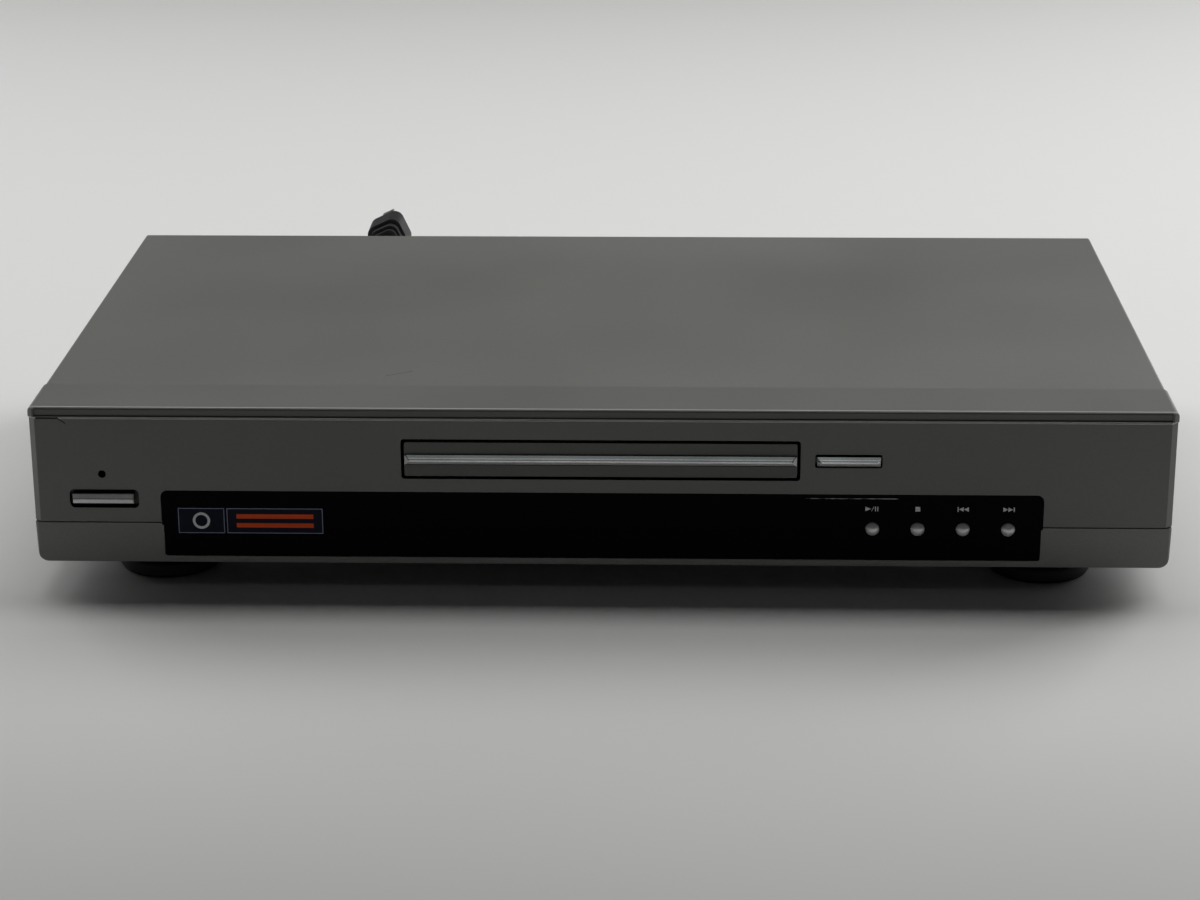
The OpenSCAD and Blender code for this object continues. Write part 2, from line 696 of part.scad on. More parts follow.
// Long ridged button with a retaining flange and a stem
module long_button(x, z, w, h, proud, end, rim, shade) color(shade) translate([x, 0, z]) {
    ridged_bar(w, h, front_y + wall + flange_gap + 0.5, front_y - proud / 3, front_y - proud, end);
    block([-w / 2 - rim, front_y + wall + flange_gap, -h / 2 - rim],
        [w / 2 + rim, front_y + wall + flange_gap + 0.9, h / 2 + rim]);
    rod_y(0, 0, front_y + wall + flange_gap, stem_end, 1.5);
}

module power_button() long_button(-power_x, power_z, power_w, power_h, 1.2, 0.3, 2.6, [0.5, 0.5, 0.5]);
module open_close_button() long_button(open_x, door_z, open_w, open_h, 2.3, 1.6, 1.8, [0.5, 0.53, 0.53]);

// Small domed button with a retaining flange
dome_r = 3;
dome_proud = 1.4;
module round_button(i) color([0.55, 0.55, 0.55]) translate([round_x + i * round_pitch, 0, round_z]) {
    rod_y(0, 0, front_y + 0.2, window_back + flange_gap + 0.5, round_r);
    intersection() {
        rod_y(0, 0, front_y - 3, front_y + 0.3, round_r);
        translate([0, front_y - dome_proud + dome_r, 0]) sphere(dome_r);
    }
    rod_y(0, 0, window_back + flange_gap, window_back + flange_gap + 0.6, round_r + 1.2);
    rod_y(0, 0, window_back + flange_gap, stem_end, 1.2);
}
module play_pause_button() round_button(0);
module stop_button() round_button(1);
module skip_back_button() round_button(2);
module skip_forward_button() round_button(3);

module standby_led() color([0.05, 0.03, 0.03]) {
    rod_y(-power_x, led_z, front_y + 0.15, board_y, led_r);
    rod_y(-power_x, led_z, front_y + wall + 0.1, front_y + wall + 1.1, led_r + 0.6);
}

module front_board() color([0.62, 0.5, 0.3]) back_from(board_y, board_t) {
    round_rect([-power_x - 17, board_z0], [round_x + (round_n - 1) * round_pitch + 10, board_z1], 1);
    round_rect([-power_x - 9, board_z0], [-power_x + 9, led_z + 3], 1);
    round_rect([open_x - 10, board_z0], [open_x + 12, door_z + 4.5], 1);
}

// Places of the six switches on the front board
switches = concat([[-power_x, power_z], [open_x, door_z]],
    [for (i = [0:round_n - 1]) [round_x + i * round_pitch, round_z]]);
module tact_switches() color([0.12, 0.12, 0.12]) for (p = switches) {
    block([p[0] - 3, board_y - switch_t, p[1] - 3], [p[0] + 3, board_y, p[1] + 3]);
    rod_y(p[0], p[1], plunger_y, board_y - switch_t + 0.1, 1.6);
}

module display_tube() color([0.1, 0.16, 0.16]) {
    back_from(board_y - 5, 5) round_rect([-52, board_z0 + 3], [52, board_z1 - 4], 0.6);
    for (x = [-47:8:47]) rod_y(x, board_z1 - 6, board_y - 1, board_y, 0.4);
}

ir_front = board_y - 4;
ir_lens_r = ir_front - window_back - 0.2;
module ir_receiver() color([0.04, 0.04, 0.04]) {
    block([-84, ir_front, board_z0 + 6], [-76, board_y, board_z0 + 13]);
    translate([-80, ir_front, board_z0 + 9.5]) sphere(ir_lens_r);
}

// ---------- the loader ----------

module loader_frame() color([0.1, 0.1, 0.1]) difference() {
    union() {
        // Floor, lugs and the four walls
        block([-loader_half, loader_y0, loader_z], [loader_half, loader_y1, loader_top]);
        for (p = loader_lugs) translate([p[0], p[1], loader_z]) {
            cylinder(r = 5, h = loader_floor_t);
            block([p[0] > 0 ? -6 : 0, -5, 0], [p[0] > 0 ? 0 : 6, 5, loader_floor_t]);
        }
        for (s = [-1, 1]) block([s > 0 ? loader_half - loader_wall : -loader_half, loader_y0, loader_z],
            [s > 0 ? loader_half : -loader_half + loader_wall, loader_y1, wall_top]);
        block([-loader_half, loader_y0, loader_z], [loader_half, loader_y0 + loader_wall, pinion_z - 1.8]);
        block([-loader_half, loader_y1 - loader_wall, loader_z], [loader_half, loader_y1, tray_z - 1.4]);
        // Rails under the tray and tabs over it
        for (s = [-1, 1]) block([s > 0 ? loader_half - loader_wall - 4 : -loader_half + loader_wall - 0.1,
            loader_y0, rack_z + 0.8],
            [s > 0 ? loader_half - loader_wall + 0.1 : -tray_w / 2 + 3.5, loader_y1, tray_z - guide_gap]);
        for (s = [-1, 1], y = [loader_y0, disc_y - 30, disc_y + 20, loader_y1 - 40])
            block([s > 0 ? tray_w / 2 - 3.2 : -loader_half, y, tray_top + guide_gap],
                [s > 0 ? loader_half : -tray_w / 2 + 3.2, y + 10, wall_top]);
        // Posts that carry the gears
        post(drive_x, drive_y, loader_top - 0.1, wheel_z - 0.2, 4);
        post(drive_x, drive_y, loader_top, tray_z - 0.8, post_r);
        post(small_x, small_y, loader_top - 0.1, pulley_z - 0.2, 3.5);
        post(small_x, small_y, loader_top, wheel_z + wheel_h + 0.3, small_post_r);
        // Seat of the loading motor
        post(motor_x, small_y, loader_top - 0.1, loader_top + 1.5, motor_r + 1.5);
        // Rails of the cam slider
        for (y = [cam_y0 - cam_gap - cam_rail_t, cam_y0 + cam_t + cam_gap])
            block([-24, y, loader_top - 0.1], [46, y + cam_rail_t, loader_top + cam_rail_h]);
        // Ears that carry the traverse's pivot
        for (s = [-1, 1]) hull() {
            rod_x(pivot_y, pivot_z, s > 0 ? ear_x : -ear_x - ear_t, s > 0 ? ear_x + ear_t : -ear_x, 5);
            block([s > 0 ? ear_x : -ear_x - ear_t, pivot_y - 7, loader_top - 0.1],
                [s > 0 ? ear_x + ear_t : -ear_x, pivot_y + 7, loader_top]);
        }
    }
    block([-traverse_half - 3, cam_y0 + cam_t + cam_gap + cam_rail_t, loader_z - eps],
        [traverse_half + 3, loader_y1 - 14, loader_top + eps]);
    rod_x(pivot_y, pivot_z, -ear_x - ear_t - 1, ear_x + ear_t + 1, pivot_r + run_fit);
    for (p = loader_lugs) post(p[0], p[1], loader_z - eps, loader_top + eps, screw_hole_r);
    post(motor_x, small_y, loader_top, loader_top + 2, motor_r + 0.1);
    for (s = [-1, 1], y = [disc_y - 12, disc_y + 12])
        post(s * (loader_half - loader_wall / 2), y, wall_top - 6, wall_top + eps, 0.8);
}

module loader_screws() color([0.6, 0.6, 0.6]) {
    for (p = loader_lugs) translate([p[0], p[1], loader_top]) screw(7);
    for (p = concat(main_holes, power_holes)) translate([p[0], p[1], standoff_z + board_t]) screw(7);
}

clamp_hole_r = 12.5;
module clamp_bridge() color([0.55, 0.56, 0.57]) difference() {
    union() {
        translate([0, 0, wall_top]) linear_extrude(bridge_t)
            round_rect([-loader_half, disc_y - 17], [loader_half, disc_y + 17], 3);
        for (y = [disc_y - 16.5, disc_y + 15.5]) block([-loader_half + 8, y, wall_top + 0.5],
            [loader_half - 8, y + 1, wall_top + bridge_t + 2.2]);
    }
    post(0, disc_y, wall_top - eps, wall_top + bridge_t + eps, clamp_hole_r);
    for (s = [-1, 1]) post(s * 40, disc_y, wall_top - eps, wall_top + bridge_t + eps, 7);
}

clamp_z = disc_z + disc_t + 1.2;
module clamp_disc() color([0.85, 0.85, 0.83]) {
    post(0, disc_y, wall_top + bridge_t + 0.3, wall_top + bridge_t + 1.6, clamp_hole_r + 3);
    difference() {
        post(0, disc_y, clamp_z, wall_top + bridge_t + 0.4, clamp_hole_r - 1);
        post(0, disc_y, clamp_z - eps, clamp_z + 1.6, hub_r + 0.5);
    }
    post(0, disc_y, wall_top + bridge_t + 1.5, wall_top + bridge_t + 3, 6);
}

module traverse_frame() color([0.14, 0.14, 0.15]) difference() {
    union() {
        block([-traverse_half, traverse_y0, traverse_z], [traverse_half, traverse_y1, traverse_top]);
        rod_x(pivot_y, pivot_z, -ear_x - ear_t, ear_x + ear_t, pivot_r);
        rod_y(cam_x, pivot_z, cam_y0 - 0.5, traverse_y0 + 1, pin_r);
        for (s = [-1, 1], y = [well_y0 - 3.5, well_y1])
            block([s * rod_x - 3, y, traverse_z - 1], [s * rod_x + 3, y + 3.5, traverse_top + 1.2]);
        block([screw_x - 7, well_y1, traverse_z - 3], [screw_x + 7, well_y1 + bracket_t, traverse_top + 3]);
    }
    block([-rod_x - 5.5, well_y0, traverse_z - 2], [screw_x + 4.5, well_y1, traverse_top + 2]);
    block([screw_x - 7, well_y1 + bracket_t, traverse_z - 4],
        [screw_x + 7, traverse_y1 + 1, traverse_top + 4]);
    for (s = [-1, 1]) rod_y(s * rod_x, pivot_z, well_y0 - 3, well_y1 + 3, rod_r);
    rod_y(screw_x, pivot_z, well_y0 - 3.5, well_y1 + bracket_t + 1, journal_r + run_fit);
    post(0, disc_y, traverse_z - 1, traverse_top + 1, 4);
}

module spindle_motor() color([0.7, 0.7, 0.72]) difference() {
    union() {
        post(0, disc_y, traverse_top, traverse_top + spindle_motor_h, spindle_motor_r);
        post(0, disc_y, traverse_z, traverse_top + 0.1, 3.95);
    }
    post(0, disc_y, traverse_z + 1, traverse_top + spindle_motor_h + 1, 1.2 + run_fit);
}

module turntable() color([0.16, 0.16, 0.17]) {
    post(0, disc_y, disc_z - 2.5, disc_z, turntable_r);
    post(0, disc_y, traverse_top + spindle_motor_h + 0.2, disc_z - 2, 4);
    post(0, disc_y, traverse_z + 1.3, disc_z, 1.2);
    translate([0, disc_y, disc_z - 0.1]) cylinder(r1 = hub_r - 0.1, r2 = hub_r - 2, h = 2.1);
}

module guide_rods() color([0.8, 0.8, 0.82]) for (s = [-1, 1])
    rod_y(s * rod_x, pivot_z, well_y0 - 3, well_y1 + 3, rod_r);

sled_top = traverse_top + 3;
module pickup_sled() color([0.3, 0.3, 0.31]) difference() {
    union() {
        block([-rod_x + 4, sled_y0, traverse_z - 1], [rod_x - 4, sled_y0 + sled_l, sled_top]);
        for (s = [-1, 1]) rod_y(s * rod_x, pivot_z, sled_y0 + 2, sled_y0 + sled_l - 2, rod_r + 1.7);
        for (s = [-1, 1]) block([s > 0 ? rod_x - 5 : -rod_x, sled_y0 + 2, pivot_z - 1],
            [s > 0 ? rod_x : -rod_x + 5, sled_y0 + sled_l - 2, pivot_z + 1]);
        block([rod_x - 5, sled_y0 + 9, pivot_z + screw_r + 0.5],
            [screw_x + 2, sled_y0 + 17, sled_top - 0.8]);
    }
    for (s = [-1, 1]) rod_y(s * rod_x, pivot_z, sled_y0, sled_y0 + sled_l, rod_r + run_fit);
}

module pickup_lens() color([0.08, 0.08, 0.1]) {
    difference() {
        block([-8, lens_y - 6, sled_top], [8, lens_y + 6, disc_z - 3]);
        post(0, lens_y, disc_z - 4, disc_z, 3.2);
    }
    intersection() {
        post(0, lens_y, disc_z - 4.1, disc_z - 1.5, 3);
        translate([0, lens_y, disc_z - 7]) sphere(5.4);
    }
}

module lead_screw() color([0.75, 0.75, 0.77]) {
    rod_y(screw_x, pivot_z, well_y0 + 0.3, well_y1 - 0.3, screw_r);
    rod_y(screw_x, pivot_z, well_y0 - 3, well_y1 + bracket_t + 2, journal_r);
}

module sled_motor() color([0.7, 0.7, 0.72]) difference() {
    rod_y(screw_x, pivot_z, well_y1 + bracket_t, well_y1 + bracket_t + sled_motor_l, sled_motor_r);
    rod_y(screw_x, pivot_z, well_y1 + bracket_t - 1, well_y1 + bracket_t + 2.5, journal_r + run_fit);
}

motor_r = 11.5;
motor_shaft_r = 1;
module loading_motor() color([0.72, 0.72, 0.74]) difference() {
    union() {
        post(motor_x, small_y, loader_top, pulley_z - 1.2, motor_r);
        post(motor_x, small_y, pulley_z - 1.3, pulley_z - 0.4, 3);
    }
    post(motor_x, small_y, pulley_z - 4, pulley_z, motor_shaft_r + run_fit);
}

// Pulley with a square groove for the belt
module pulley(r) {
    cylinder(r = r, h = pulley_h);
    cylinder(r = r + belt_t, h = 1);
    translate([0, 0, pulley_h - 1]) cylinder(r = r + belt_t, h = 1);
}

module motor_pulley() color([0.8, 0.78, 0.7]) translate([motor_x, small_y, pulley_z]) {
    pulley(motor_pulley_r);
    translate([0, 0, -3.5]) cylinder(r = motor_shaft_r, h = pulley_h);
}

module belt_loop(extra) hull() {
    translate([small_x, small_y]) circle(pulley_r + extra, $fn = 48);
    translate([motor_x, small_y]) circle(motor_pulley_r + extra, $fn = 48);
}
module loading_belt() color([0.05, 0.05, 0.05]) translate([0, 0, pulley_z + 1.3])
    linear_extrude(pulley_h - 2.6) difference() {
        belt_loop(0.1 + belt_t);
        belt_loop(0.1);
    }

module pulley_gear() color([0.9, 0.9, 0.86]) translate([small_x, small_y, 0]) difference() {
    union() {
        translate([0, 0, pulley_z]) pulley(pulley_r);
        translate([0, 0, pulley_z + pulley_h - 0.1])
            cylinder(r = 3.4, h = wheel_z - pulley_z - pulley_h + 0.3);
        translate([0, 0, wheel_z]) rotate(mesh_angle + 180 + 180 / small_n)
            linear_extrude(wheel_h) gear(wheel_m, small_n);
    }
    translate([0, 0, pulley_z - eps])
        cylinder(r = small_post_r + run_fit, h = wheel_z + wheel_h - pulley_z + 2 * eps);
}

module drive_gear() color([0.9, 0.9, 0.86]) translate([drive_x, drive_y, 0]) difference() {
    union() {
        translate([0, 0, wheel_z]) rotate(mesh_angle) linear_extrude(wheel_h) gear(wheel_m, wheel_n);
        translate([0, 0, wheel_z + wheel_h - 0.1]) cylinder(r = pinion_rp - 1.5 * rack_m, h = 0.7);
        translate([0, 0, pinion_z]) rotate(180) linear_extrude(pinion_h) gear(rack_m, pinion_n);
    }
    translate([0, 0, wheel_z - eps])
        cylinder(r = post_r + run_fit, h = pinion_z + pinion_h - wheel_z + 2 * eps);
}

// Slider with a sloping slot that lowers the traverse's pin as it moves right
module cam_slider() color([0.88, 0.88, 0.84]) difference() {
    back_from(cam_y0, cam_t)
        round_rect([cam_x - cam_travel - 8, loader_top + 0.3], [cam_x + 8, pivot_z + 4.5], 1);
    back_from(cam_y0 - eps, cam_t + 2 * eps) cam_slot();
}
module cam_slot() {
    r = pin_r + 0.25;
    length = norm([cam_travel, cam_slope]);
    angle = atan2(cam_slope, cam_travel);
    translate([cam_x, pivot_z]) {
        circle(r);
        rotate(180 + angle) translate([0, -r]) square([length, 2 * r]);
        translate([-cam_travel, -cam_slope]) circle(r);
    }
}

// ---------- boards and sockets ----------

// Board on its posts, with holes for the screws
module board(x, y, holes) difference() {
    block([x[0], y[0], standoff_z], [x[1], y[1], standoff_z + board_t]);
    for (p = holes) post(p[0], p[1], standoff_z - eps, standoff_z + board_t + eps, screw_hole_r);
}
board_top = standoff_z + board_t;

module main_board() color([0.1, 0.35, 0.2]) board(main_x, main_y, main_holes);
module power_board() color([0.65, 0.52, 0.3]) board([power_x0, power_x1], power_y, power_holes);

// Chips on the main board: place along X and Y, side and height
chips = [[main_x[0] + 30, main_y[0] + 53, 28, 3.4], [main_x[0] + 70, main_y[0] + 43, 16, 2],
    [main_x[0] + 70, main_y[0] + 70, 14, 2], [main_x[1] - 14, main_y[0] + 58, 12, 2.4],
    [main_x[0] + 28, main_y[0] + 18, 12, 2]];
module decoder_chips() color([0.08, 0.08, 0.08]) for (c = chips)
    block([c[0] - c[2] / 2, c[1] - c[2] / 2, board_top],
        [c[0] + c[2] / 2, c[1] + c[2] / 2, board_top + c[3]]);

module mains_transformer() color([0.85, 0.75, 0.25])
    translate([power_x1 - 61, power_y[0] + 110, board_top]) {
    block([-17, -14, 0], [17, 14, 5]);
    block([-11, -12, 4.9], [11, 12, 21]);
    block([-17, -7, 4.9], [17, 7, 24]);
}

// Capacitors on the power board: place along X and Y, radius and height
capacitors = [[power_x1 - 29, power_y[0] + 118, 9, 26], [power_x1 - 24, power_y[0] + 88, 5, 16],
    [power_x1 - 38, power_y[0] + 70, 5, 18], [power_x1 - 19, power_y[0] + 62, 4, 14],
    [power_x0 + 25, power_y[0] + 68, 6.5, 12]];
module reservoir_capacitors() color([0.1, 0.12, 0.3]) for (c = capacitors)
    post(c[0], c[1], board_top, board_top + c[3], c[2]);

module heat_sink() color([0.75, 0.76, 0.78]) translate([power_x0 + 10, power_y[0] + 108, board_top]) {
    block([-1.5, -22, 0], [1.5, 22, 26]);
    for (y = [-20:8:20]) block([-8, y - 0.8, 3], [8, y + 0.8, 26]);
}

housing_y = panel_y - sheet_t - 12;
collar_y = panel_y + 1.2;
neck_l = 0.2; // gap between a shell's shoulder and its collar
module av_jack_housing() color([0.12, 0.12, 0.12]) {
    block([rca_x - rca_end, housing_y, board_top],
        [rca_last + rca_end, panel_y - sheet_t, rca_rows[1] + rca_end]);
    for (i = [0:rca_cols - 1], z = rca_rows)
        rod_y(rca_x + i * rca_pitch, z, panel_y - sheet_t - 0.1, collar_y, rca_r + 0.5);
}

module av_jack_shells() color([0.75, 0.75, 0.72]) for (i = [0:rca_cols - 1], z = rca_rows) difference() {
    union() {
        rod_y(rca_x + i * rca_pitch, z, collar_y, collar_y + 2 * neck_l, rca_r - 0.6);
        rod_y(rca_x + i * rca_pitch, z, collar_y + neck_l, rear_y + rca_proud, rca_r);
    }
    rod_y(rca_x + i * rca_pitch, z, rear_y + rca_proud - rca_depth, rear_y + rca_proud + eps, rca_pin_r);
}

module s_video_socket() color([0.1, 0.1, 0.1]) difference() {
    union() {
        block([svideo_x - svideo_half, panel_y - sheet_t - 11, board_top],
            [svideo_x + svideo_half, panel_y - sheet_t, socket_z + 7]);
        rod_y(svideo_x, socket_z, panel_y - sheet_t - 0.1, panel_y + 0.6, svideo_r);
    }
    rod_y(svideo_x, socket_z, panel_y - 6, panel_y + 1, svideo_r - 0.9);
}

module optical_socket() color([0.1, 0.1, 0.1]) difference() {
    union() {
        block([optical_x - optical_half, panel_y - sheet_t - 13, board_top],
            [optical_x + optical_half, panel_y - sheet_t, socket_z + 5]);
        block([optical_x - optical_half, panel_y - sheet_t - 0.1, socket_z - 5],
            [optical_x + optical_half, panel_y + 1, socket_z + 5]);
    }
    block([optical_x - 3, panel_y - 8, socket_z - 3], [optical_x + 3, panel_y + 2, socket_z + 3]);
}

ribbon_t = 0.3;
ribbon_plug_h = 4;
ribbon_plug_t = 5;
ribbon_z = board_top + 1.8;
ribbon_x = [main_x[0] + 39, main_x[0] + 55];
loader_ribbon_y = [51, 65];
loader_ribbon_z = 33;
module ribbon_cables() color([0.85, 0.85, 0.82]) {
    // Front board to main board: a plug at each end and the flat cable between them
    front_plug_y = board_y + board_t;
    main_plug_y = main_y[0] + 4;
    block([ribbon_x[0] - 1, front_plug_y, ribbon_z - ribbon_plug_h / 2],
        [ribbon_x[1] + 1, front_plug_y + 4, ribbon_z + ribbon_plug_h / 2]);
    block([ribbon_x[0], front_plug_y + 3.9, ribbon_z],
        [ribbon_x[1], main_plug_y + 0.1, ribbon_z + ribbon_t]);
    block([ribbon_x[0] - 1, main_plug_y, board_top],
        [ribbon_x[1] + 1, main_plug_y + ribbon_plug_t, board_top + ribbon_plug_h]);
    // Loader to main board, dropping to a plug at the board's edge
    drop_x = main_x[0] + 9;
    block([loader_half, loader_ribbon_y[0] - 1, loader_ribbon_z - 3],
        [loader_half + 3, loader_ribbon_y[1] + 1, loader_ribbon_z + 3]);
    block([loader_half + 2.9, loader_ribbon_y[0], loader_ribbon_z],
        [drop_x, loader_ribbon_y[1], loader_ribbon_z + ribbon_t]);
    block([drop_x - ribbon_t, loader_ribbon_y[0], board_top + ribbon_plug_h - 0.1],
        [drop_x, loader_ribbon_y[1], loader_ribbon_z + ribbon_t]);
    block([drop_x - 3, loader_ribbon_y[0] - 1, board_top],
        [drop_x - 3 + ribbon_plug_t, loader_ribbon_y[1] + 1, board_top + ribbon_plug_h]);
}

// ---------- the mains cord ----------

module cord_gland() color([0.07, 0.07, 0.07]) translate([gland_x, 0, gland_z]) {
    back_from(panel_y - sheet_t - 4, 4)
        round_rect([-gland_r - 2, -gland_r - 2], [gland_r + 2, gland_r + 2], 1.5);
    back_from(panel_y - sheet_t - 1, sheet_t + 2) round_rect([-gland_r, -gland_r], [gland_r, gland_r], 1.4);
    back_from(panel_y, 2.5)
        round_rect([-gland_r - 1.5, -gland_r - 1.5], [gland_r + 1.5, gland_r + 1.5], 1.5);
    translate([0, panel_y + 2.4, 0]) rotate([-90, 0, 0])
        cylinder(r1 = gland_r, r2 = gland_tip_r, h = exit_y - panel_y - 2.4);
}

module power_cord() color([0.06, 0.06, 0.06]) for (run = [first_run, second_run]) tube(run, cord_r);

module hank_plan(r) {
    for (x = hank_x) translate([x, hank_y]) circle(r);
    translate([hank_x[0], hank_y - r]) square([hank_x[1] - hank_x[0], 2 * r]);
}
module cord_hank() color([0.06, 0.06, 0.06]) linear_extrude(hank_h) difference() {
    hank_plan(hank_out_r);
    hank_plan(hank_in_r - cord_r - 0.3);
}

tie_x = -65;
tie_w = 12;
tie_t = 1;
module hank_tie() color([0.1, 0.1, 0.1]) right_from(tie_x - tie_w / 2, tie_w) difference() {
    translate([hank_y - hank_out_r - tie_t, 0]) square([2 * (hank_out_r + tie_t), hank_h + tie_t]);
    translate([hank_y - hank_out_r, -eps]) square([2 * hank_out_r, hank_h + eps]);
}

// The plug lies on one long corner, its blades pointing away from the player
module plug_place() translate([plug_x, plug_y, plug_z]) rotate([0, plug_lean, 0]) children();

module plug_body() color([0.05, 0.05, 0.05]) plug_place() {
    back_from(8, plug_l - 8) round_rect([-plug_w / 2, -plug_h / 2], [plug_w / 2, plug_h / 2], 5);
    back_from(3, 6)
        round_rect([-plug_w / 2 + 1.6, -plug_h / 2 + 1.8], [plug_w / 2 - 1.6, plug_h / 2 - 1.8], 4.5);
    back_from(0, 4)
        round_rect([-plug_w / 2 + 3, -plug_h / 2 + 3.4], [plug_w / 2 - 3, plug_h / 2 - 3.4], 3.5);
    translate([0, -bush_l, 0]) rotate([-90, 0, 0]) cylinder(r1 = cord_r + 0.6, r2 = 4.2, h = bush_l + 1);
}

module plug_blades() color([0.8, 0.78, 0.65]) plug_place() for (s = [-1, 1])
    back_from(plug_l, blade_l) round_rect([-blade_w / 2, s * blade_pitch / 2 - blade_t / 2],
        [blade_w / 2, s * blade_pitch / 2 + blade_t / 2], 0.3);

front_bezel();
lower_trim();
display_window();
top_cover();
bottom_chassis();
rear_panel();
case_screws();
foot(-foot_x, foot_rows[0]);  // front_left_foot
foot(foot_x, foot_rows[0]);  // front_right_foot
foot(-foot_x, foot_rows[1]);  // rear_left_foot
foot(foot_x, foot_rows[1]);  // rear_right_foot
tray_door();
tray_door_bar();
disc_tray();
power_button();
open_close_button();
play_pause_button();
stop_button();
skip_back_button();
skip_forward_button();
standby_led();
front_board();
tact_switches();
display_tube();
ir_receiver();
loader_frame();
loader_screws();
clamp_bridge();
clamp_disc();
traverse_frame();
spindle_motor();
turntable();
guide_rods();
pickup_sled();
pickup_lens();
lead_screw();
sled_motor();
loading_motor();
motor_pulley();
loading_belt();
pulley_gear();
drive_gear();
cam_slider();
main_board();
decoder_chips();
power_board();
mains_transformer();
reservoir_capacitors();
heat_sink();
av_jack_housing();
av_jack_shells();
s_video_socket();
optical_socket();
ribbon_cables();
cord_gland();
power_cord();
cord_hank();
hank_tie();
plug_body();
plug_blades();
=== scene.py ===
import math

import bmesh
import bpy
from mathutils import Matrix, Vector


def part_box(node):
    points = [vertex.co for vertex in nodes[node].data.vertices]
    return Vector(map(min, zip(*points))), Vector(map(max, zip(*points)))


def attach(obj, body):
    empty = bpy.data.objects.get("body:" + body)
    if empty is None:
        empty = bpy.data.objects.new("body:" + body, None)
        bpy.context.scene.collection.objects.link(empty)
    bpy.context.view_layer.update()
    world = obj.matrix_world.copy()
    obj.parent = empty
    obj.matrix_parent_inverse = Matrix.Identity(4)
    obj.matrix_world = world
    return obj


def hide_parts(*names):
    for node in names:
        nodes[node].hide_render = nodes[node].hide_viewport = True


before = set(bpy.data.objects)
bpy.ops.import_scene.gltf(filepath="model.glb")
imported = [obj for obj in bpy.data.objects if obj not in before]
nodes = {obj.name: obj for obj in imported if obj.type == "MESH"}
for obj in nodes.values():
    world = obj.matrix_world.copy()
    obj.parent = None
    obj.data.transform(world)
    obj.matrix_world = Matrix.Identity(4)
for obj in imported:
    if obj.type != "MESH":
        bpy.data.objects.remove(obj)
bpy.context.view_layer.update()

# ---------------------------------------------------------------- camera
# A long lens in front of the player and a little above it.
# It looks down by about 19 degrees and leans by a fraction of a degree.
camera_data = bpy.data.cameras.new("camera")
camera_data.sensor_width = 36.0
focal_length_px, picture_width_px = 2909, 1200
camera_data.lens = camera_data.sensor_width * focal_length_px / picture_width_px
camera = bpy.data.objects.new("camera", camera_data)
camera.location = (0.0304, -1.1561, 0.4150)
camera.rotation_euler = [math.radians(angle) for angle in (70.84, 0.23, 1.62)]
bpy.context.scene.collection.objects.link(camera)
bpy.context.scene.camera = camera

# ---------------------------------------------------------------- mains cord
# Round black rubber-sheathed cord, 5 mm thick, that leaves its gland and drops to the table.
# Most of it is folded into a flat hank of four turns in two layers, and its end runs to the plug.
cord_radius = 0.0025
gland_tip = (-0.165, 0.150, 0.030)
first_run = [
    gland_tip, (-0.165, 0.159, 0.0284), (-0.165, 0.1674, 0.0237), (-0.165, 0.1735, 0.0163),
    (-0.165, 0.1796, 0.0089), (-0.165, 0.1878, 0.0042), (-0.165, 0.198, 0.0026),
    (-0.162, 0.2096, 0.0026), (-0.154, 0.2176, 0.0026), (-0.143, 0.2206, 0.0026),
    (-0.132, 0.2206, 0.0026), (-0.122, 0.2206, 0.0026), (-0.112, 0.2206, 0.0026),
]
second_run = [
    (-0.1306, 0.202, 0.0077), (-0.1306, 0.213, 0.0078), (-0.131, 0.224, 0.0076),
    (-0.1326, 0.236, 0.006), (-0.1352, 0.248, 0.004), (-0.1376, 0.259, 0.0028),
    (-0.139, 0.270, 0.0026), (-0.1384, 0.281, 0.003), (-0.1358, 0.2915, 0.0046),
    (-0.1324, 0.301, 0.0072), (-0.1292, 0.310, 0.0098), (-0.1272, 0.318, 0.011),
]
hank_left, hank_right, hank_middle = -0.110, -0.020, 0.200
outer_turn, inner_turn = 0.0206, 0.0155
low_layer, high_layer = 0.0026, 0.0077
half_turn_steps = 8
# Radius and height of each turn, and what they change to at its left end
hank_turns = [
    ((outer_turn, low_layer), (inner_turn, low_layer)),
    ((inner_turn, low_layer), (inner_turn, high_layer)),
    ((inner_turn, high_layer), (outer_turn, high_layer)),
    ((outer_turn, high_layer), (outer_turn, high_layer)),
]
route = list(first_run)
for turn, ((radius, height), (next_radius, next_height)) in enumerate(hank_turns):
    last_turn = turn == len(hank_turns) - 1
    straight = [hank_left + (hank_right - hank_left) * i / 4 for i in range(1, 4)]
    route += [(x, hank_middle + radius, height) for x in straight]
    for step in range(half_turn_steps + 1):
        angle = math.radians(90 - 180 * step / half_turn_steps)
        route.append((hank_right + radius * math.cos(angle), hank_middle + radius * math.sin(angle), height))
    route += [(x, hank_middle - radius, height) for x in reversed(straight)]
    for step in range(half_turn_steps // 2 if last_turn else half_turn_steps + 1):
        share = step / half_turn_steps
        angle = math.radians(-90 - 180 * share)
        r = radius + (next_radius - radius) * share
        z = height + (next_height - height) * share
        route.append((hank_left + r * math.cos(angle), hank_middle + r * math.sin(angle), z))
route += second_run

